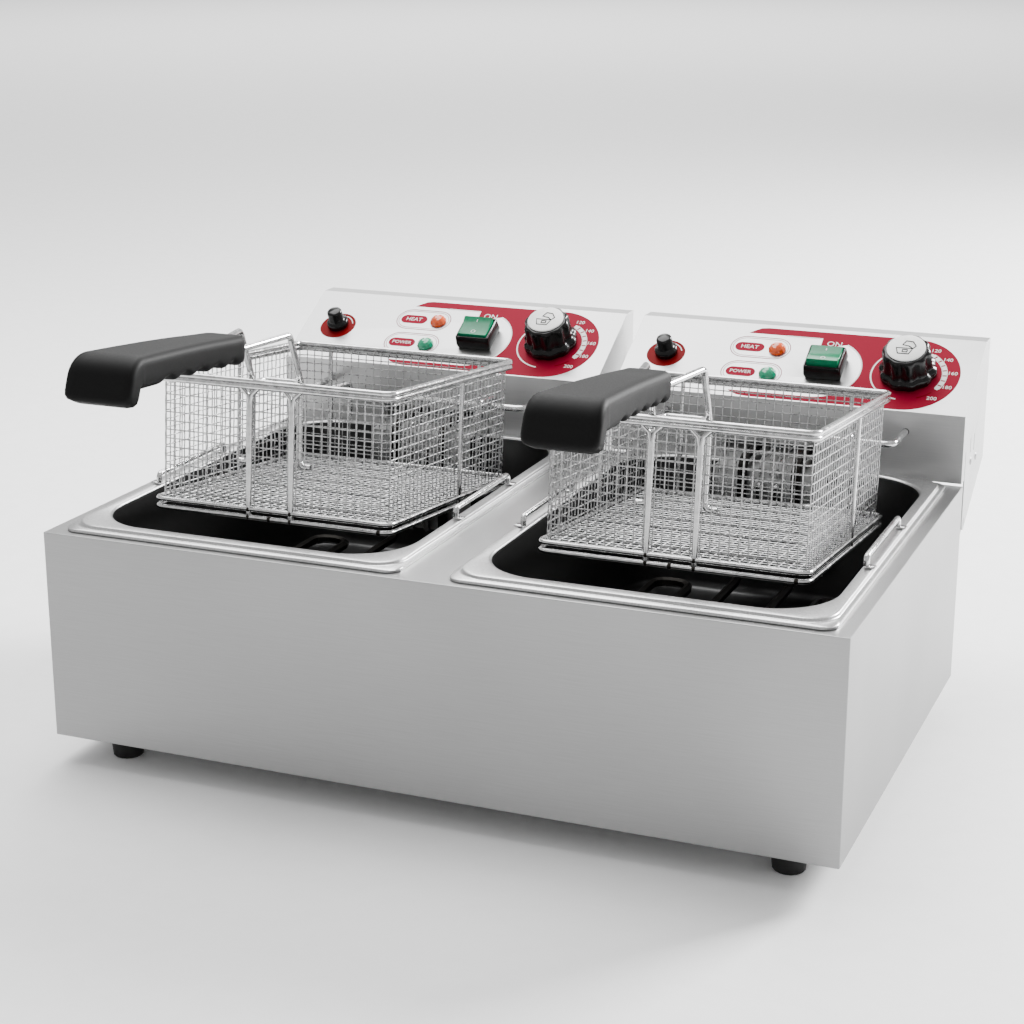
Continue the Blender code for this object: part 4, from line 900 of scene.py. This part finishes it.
def rear_hooks():
    """Hooks behind the basket that drop over the hanger."""
    hooks = []
    near, far, low, top = BASKET_DEPTH - 1.5 * MM, 246 * MM, 35 * MM, 61 * MM
    for x in (-REAR_BAR_X * MM, REAR_BAR_X * MM):
        hooks.append(rounded_path([(x, near, low), (x, near, top), (x, far, top), (x, far, low)], 4 * MM, 6))
    return hooks


def basket_frame(side):
    """Welded frame: two rims, two bottom rings, bars and rear hooks."""
    place = basket_place(side)
    rims = [frame_loop(RIM_WIRE, BASKET_HEIGHT - RIM_WIRE), frame_loop(RIM_WIRE, BASKET_HEIGHT - 5.6 * MM)]
    rings = [frame_loop(RING_WIRE, RING_WIRE), frame_loop(RING_WIRE, 7.4 * MM)]
    for name, paths, radius, closed in (
        ("rims", rims, RIM_WIRE, (0, 1)),
        ("bottom_rings", rings, RING_WIRE, (0, 1)),
        ("bars", frame_bars(), BAR_WIRE, ()),
        ("hooks", rear_hooks(), RIM_WIRE, ()),
    ):
        placed = [[place @ point for point in path] for path in paths]
        nodes = [f"basket_frame_{side}"] if name == "rims" else []
        add_wires(f"basket_{name}_{side}", placed, radius, WIRE, f"basket_{side}", nodes, closed)


def basket_welds(side):
    """Dark butt welds on the lower ring and beads where the front bars meet the rings."""
    place = basket_place(side)
    shape = bmesh.new()
    spots = [(0, 1.75, 1.75), (BASKET_WIDTH / MM / 2 - 9, 1.75, 1.75)]
    spots += [(x, 1.9, z) for x in (-FRONT_BAR_X, FRONT_BAR_X) for z in (2, 7.2)]
    for x, y, z in spots:
        centre = place @ Matrix.Translation((x * MM, y * MM, z * MM))
        bmesh.ops.create_icosphere(shape, subdivisions=2, radius=2.2 * MM, matrix=centre)
    add_piece(f"basket_weld_beads_{side}", shape, WELD, f"basket_{side}")


# Handle wire, in millimetres on the basket's axes: foot, upright, crest over the rim, and into the grip
HANDLE_HALF = (
    (27, 8.6, 38.7), (18.5, 8.6, 38.7), (18.5, 8.6, 96.5), (18.5, -8, 129.2),
    (10.75, -57, 124.4), (10.75, -76, 124.4),
)


def handle_wire(side):
    """Sprung handle wire: hooked feet, over the rim, and forward into the grip."""
    place = basket_place(side)
    paths = []
    for hand in (-1, 1):
        path = rounded_path([(hand * x * MM, y * MM, z * MM) for x, y, z in HANDLE_HALF], 5 * MM, 8)
        paths.append([place @ point for point in path])
    add_wires(f"handle_wires_{side}", paths, 2.25 * MM, WIRE, f"handle_{side}", [f"handle_wire_{side}"])


# Grip, in millimetres on the basket's axes: its rear end, where it bends down, the height of its middle, half
# the thickness of the grip and of its guard, the bend's radius, and how far the guard leans down
GRIP_REAR = -57.0
GRIP_BEND = -190.5
GRIP_MIDDLE = 124.2
GRIP_HALF = 9.8
GUARD_HALF = 6.2
BEND_RADIUS = 9.0
GUARD_LEAN = math.radians(72)
FINGER_GROOVES = 6


def grip_section(y, z, lean, half_width, half_thick, groove):
    """A rounded section across the grip, leaning forward by an angle; the groove thins its underside."""
    radius = half_thick * 0.55
    section = []
    for x, up in rounded_loop((-half_width, -half_thick), (half_width, half_thick), radius, 6):
        if up < 0:
            up *= 1 - groove
        section.append((x * MM, (y - up * math.sin(lean)) * MM, (z + up * math.cos(lean)) * MM))
    return section


def bend_place(lean):
    """Where the grip's middle is when the bend has turned by an angle."""
    return GRIP_BEND - BEND_RADIUS * math.sin(lean), GRIP_MIDDLE - BEND_RADIUS * (1 - math.cos(lean))


def grip_loops():
    """Sections from the rear end to the foot of the guard."""
    loops = []
    for y, scale in ((0, 0.72), (-0.8, 0.86), (-2.4, 0.95), (-5, 1.0)):
        loops.append(grip_section(GRIP_REAR + y, GRIP_MIDDLE, 0, 15 * scale, 9.6 * scale, 0))
    start = GRIP_REAR - 7
    for step in range(61):
        share = step / 60
        wave = 0.5 - 0.5 * math.cos(2 * math.pi * share * FINGER_GROOVES)
        groove = 0.34 * wave * (share < 0.84)
        y = start + (GRIP_BEND - start) * share
        z = GRIP_MIDDLE + 0.7 * math.sin(math.pi * share)
        loops.append(grip_section(y, z, 0, 15.2 + 7.0 * share, GRIP_HALF, groove))
    for step in range(1, 9):
        share = step / 8
        thick = GRIP_HALF + (GUARD_HALF - GRIP_HALF) * share
        y, z = bend_place(GUARD_LEAN * share)
        loops.append(grip_section(y, z, GUARD_LEAN * share, 22.4 + 0.4 * share, thick, 0))
    bend_y, bend_z = bend_place(GUARD_LEAN)
    for run, scale in ((3, 1.0), (7, 1.0), (10, 0.98), (12, 0.9), (13, 0.72)):
        y, z = bend_y - run * math.cos(GUARD_LEAN), bend_z - run * math.sin(GUARD_LEAN)
        loops.append(grip_section(y, z, GUARD_LEAN, 22.8 * scale, GUARD_HALF * scale, 0))
    return loops


def grip(side):
    """Moulded grip with finger grooves, a thumb hollow and a turned-down guard."""
    shape = skin_loops(grip_loops())
    hollow_y, hollow_length, hollow_width, hollow_depth = -84, 15, 8, 1.8 * MM
    for vert in shape.verts:
        x, y, z = (c / MM for c in vert.co)
        if z > GRIP_MIDDLE:
            spread = ((y - hollow_y) / hollow_length) ** 2 + (x / hollow_width) ** 2
            vert.co.z -= hollow_depth * math.exp(-spread)
    every_way = {"use_axis_x": True, "use_axis_y": True, "use_axis_z": True}
    bmesh.ops.smooth_vert(shape, verts=shape.verts, factor=0.3, **every_way)
    moved(shape, basket_place(side))
    add_piece(f"grip_moulding_{side}", shape, GRIP, f"handle_{side}", [f"handle_grip_{side}"], 60)


# The studio


def aim(thing, place, target):
    thing.location = place
    thing.rotation_euler = (Vector(target) - Vector(place)).to_track_quat("-Z", "Y").to_euler()


def soft_light(name, place, target, size, power):
    light = bpy.data.lights.new(name, "AREA")
    light.shape = "SQUARE"
    light.size = size
    light.energy = power
    lamp_object = bpy.data.objects.new(name, light)
    bpy.context.scene.collection.objects.link(lamp_object)
    aim(lamp_object, place, target)


def camera():
    view = bpy.data.cameras.new("camera")
    view.lens = CAMERA_LENS
    view.sensor_width = 36
    holder = bpy.data.objects.new("camera", view)
    bpy.context.scene.collection.objects.link(holder)
    holder.location = CAMERA_PLACE
    holder.rotation_euler = (math.pi / 2 - CAMERA_TILT, 0, CAMERA_TURN)
    bpy.context.scene.camera = holder


def room():
    """Pale even surroundings, which the steel reflects."""
    world = bpy.data.worlds.new("studio")
    world.use_nodes = True
    surroundings = world.node_tree.nodes["Background"]
    surroundings.inputs["Color"].default_value = linear("#F0F0F0")
    surroundings.inputs["Strength"].default_value = 0.85
    bpy.context.scene.world = world


def paper_floor():
    """A sheet of paper that reaches far behind the object."""
    shape = bmesh.new()
    bmesh.ops.create_grid(shape, x_segments=1, y_segments=1, size=40.0)
    mesh = bpy.data.meshes.new("floor")
    shape.to_mesh(mesh)
    shape.free()
    floor = bpy.data.objects.new("floor", mesh)
    bpy.context.scene.collection.objects.link(floor)
    # Matt white paper: an even tone with the faintest mottle.
    mesh.materials.append(moulded("matt white paper", "#FBFBFB", "#F7F7F7", 0.8, 20.0, 0.01))


def studio():
    """The camera, the surroundings, three lights (place, target, size, watts) and the floor."""
    camera()
    room()
    soft_light("overhead", (-0.5, 0.4, 1.9), (0, 0, 0.1), 1.5, 58)
    soft_light("right_rear", (1.7, 2.3, 1.5), (0.6, 0.4, 0), 1.0, 300)
    soft_light("backdrop", (-3.0, 7.5, 5.0), (-3.0, 7.8, 0), 5.0, 500)
    paper_floor()


def finish_nodes():
    """Finishes of the CAD nodes that keep their shape, and edges for the sheet metal."""
    broken_edges("housing_shell", 0.7 * MM, HOUSING_STEEL)
    for side in SIDES:
        # The casings and element brackets take the steel painted paler, as painted light
        broken_edges(f"control_casing_{side}", 0.45 * MM, PAINTED_LIT_STEEL)
        broken_edges(f"rear_cover_{side}", 0.45 * MM, HOUSING_STEEL)
        give(f"element_bracket_{side}", PAINTED_LIT_STEEL)
        give(f"heating_element_{side}", HEATED)
        give(f"cable_gland_{side}", SATIN_BLACK)
        give(f"reset_button_{side}", WHITE)
        for node in ("thermostat_bulb", "limiter_bulb"):
            give(f"{node}_{side}", WIRE)
        for node in ("hinge_rod", "thermostat", "limiter"):
            give(f"{node}_{side}", ZINC)
    give("base_plate", ZINC)
    give("hinge_rail", ZINC)
    for foot in ("front_left", "front_right", "rear_left", "rear_right"):
        broken_edges(f"foot_{foot}", 0.5 * MM, RUBBER, 50, 35)


def build():
    studio()
    finish_nodes()
    for side in SIDES:
        oil_tank(side)
        lift_rails(side)
        hanger(side)
        side_screws(side)
        red_field(side)
        dial(side)
        lamp_fields(side)
        reset_field(side)
        knob(side)
        rocker_switch(side)
        lamp(side, "heat", AMBER)
        lamp(side, "power", LAMP_GREEN)
        reset_cap(side)
        basket_weave(side)
        basket_frame(side)
        basket_welds(side)
        handle_wire(side)
        grip(side)


build()
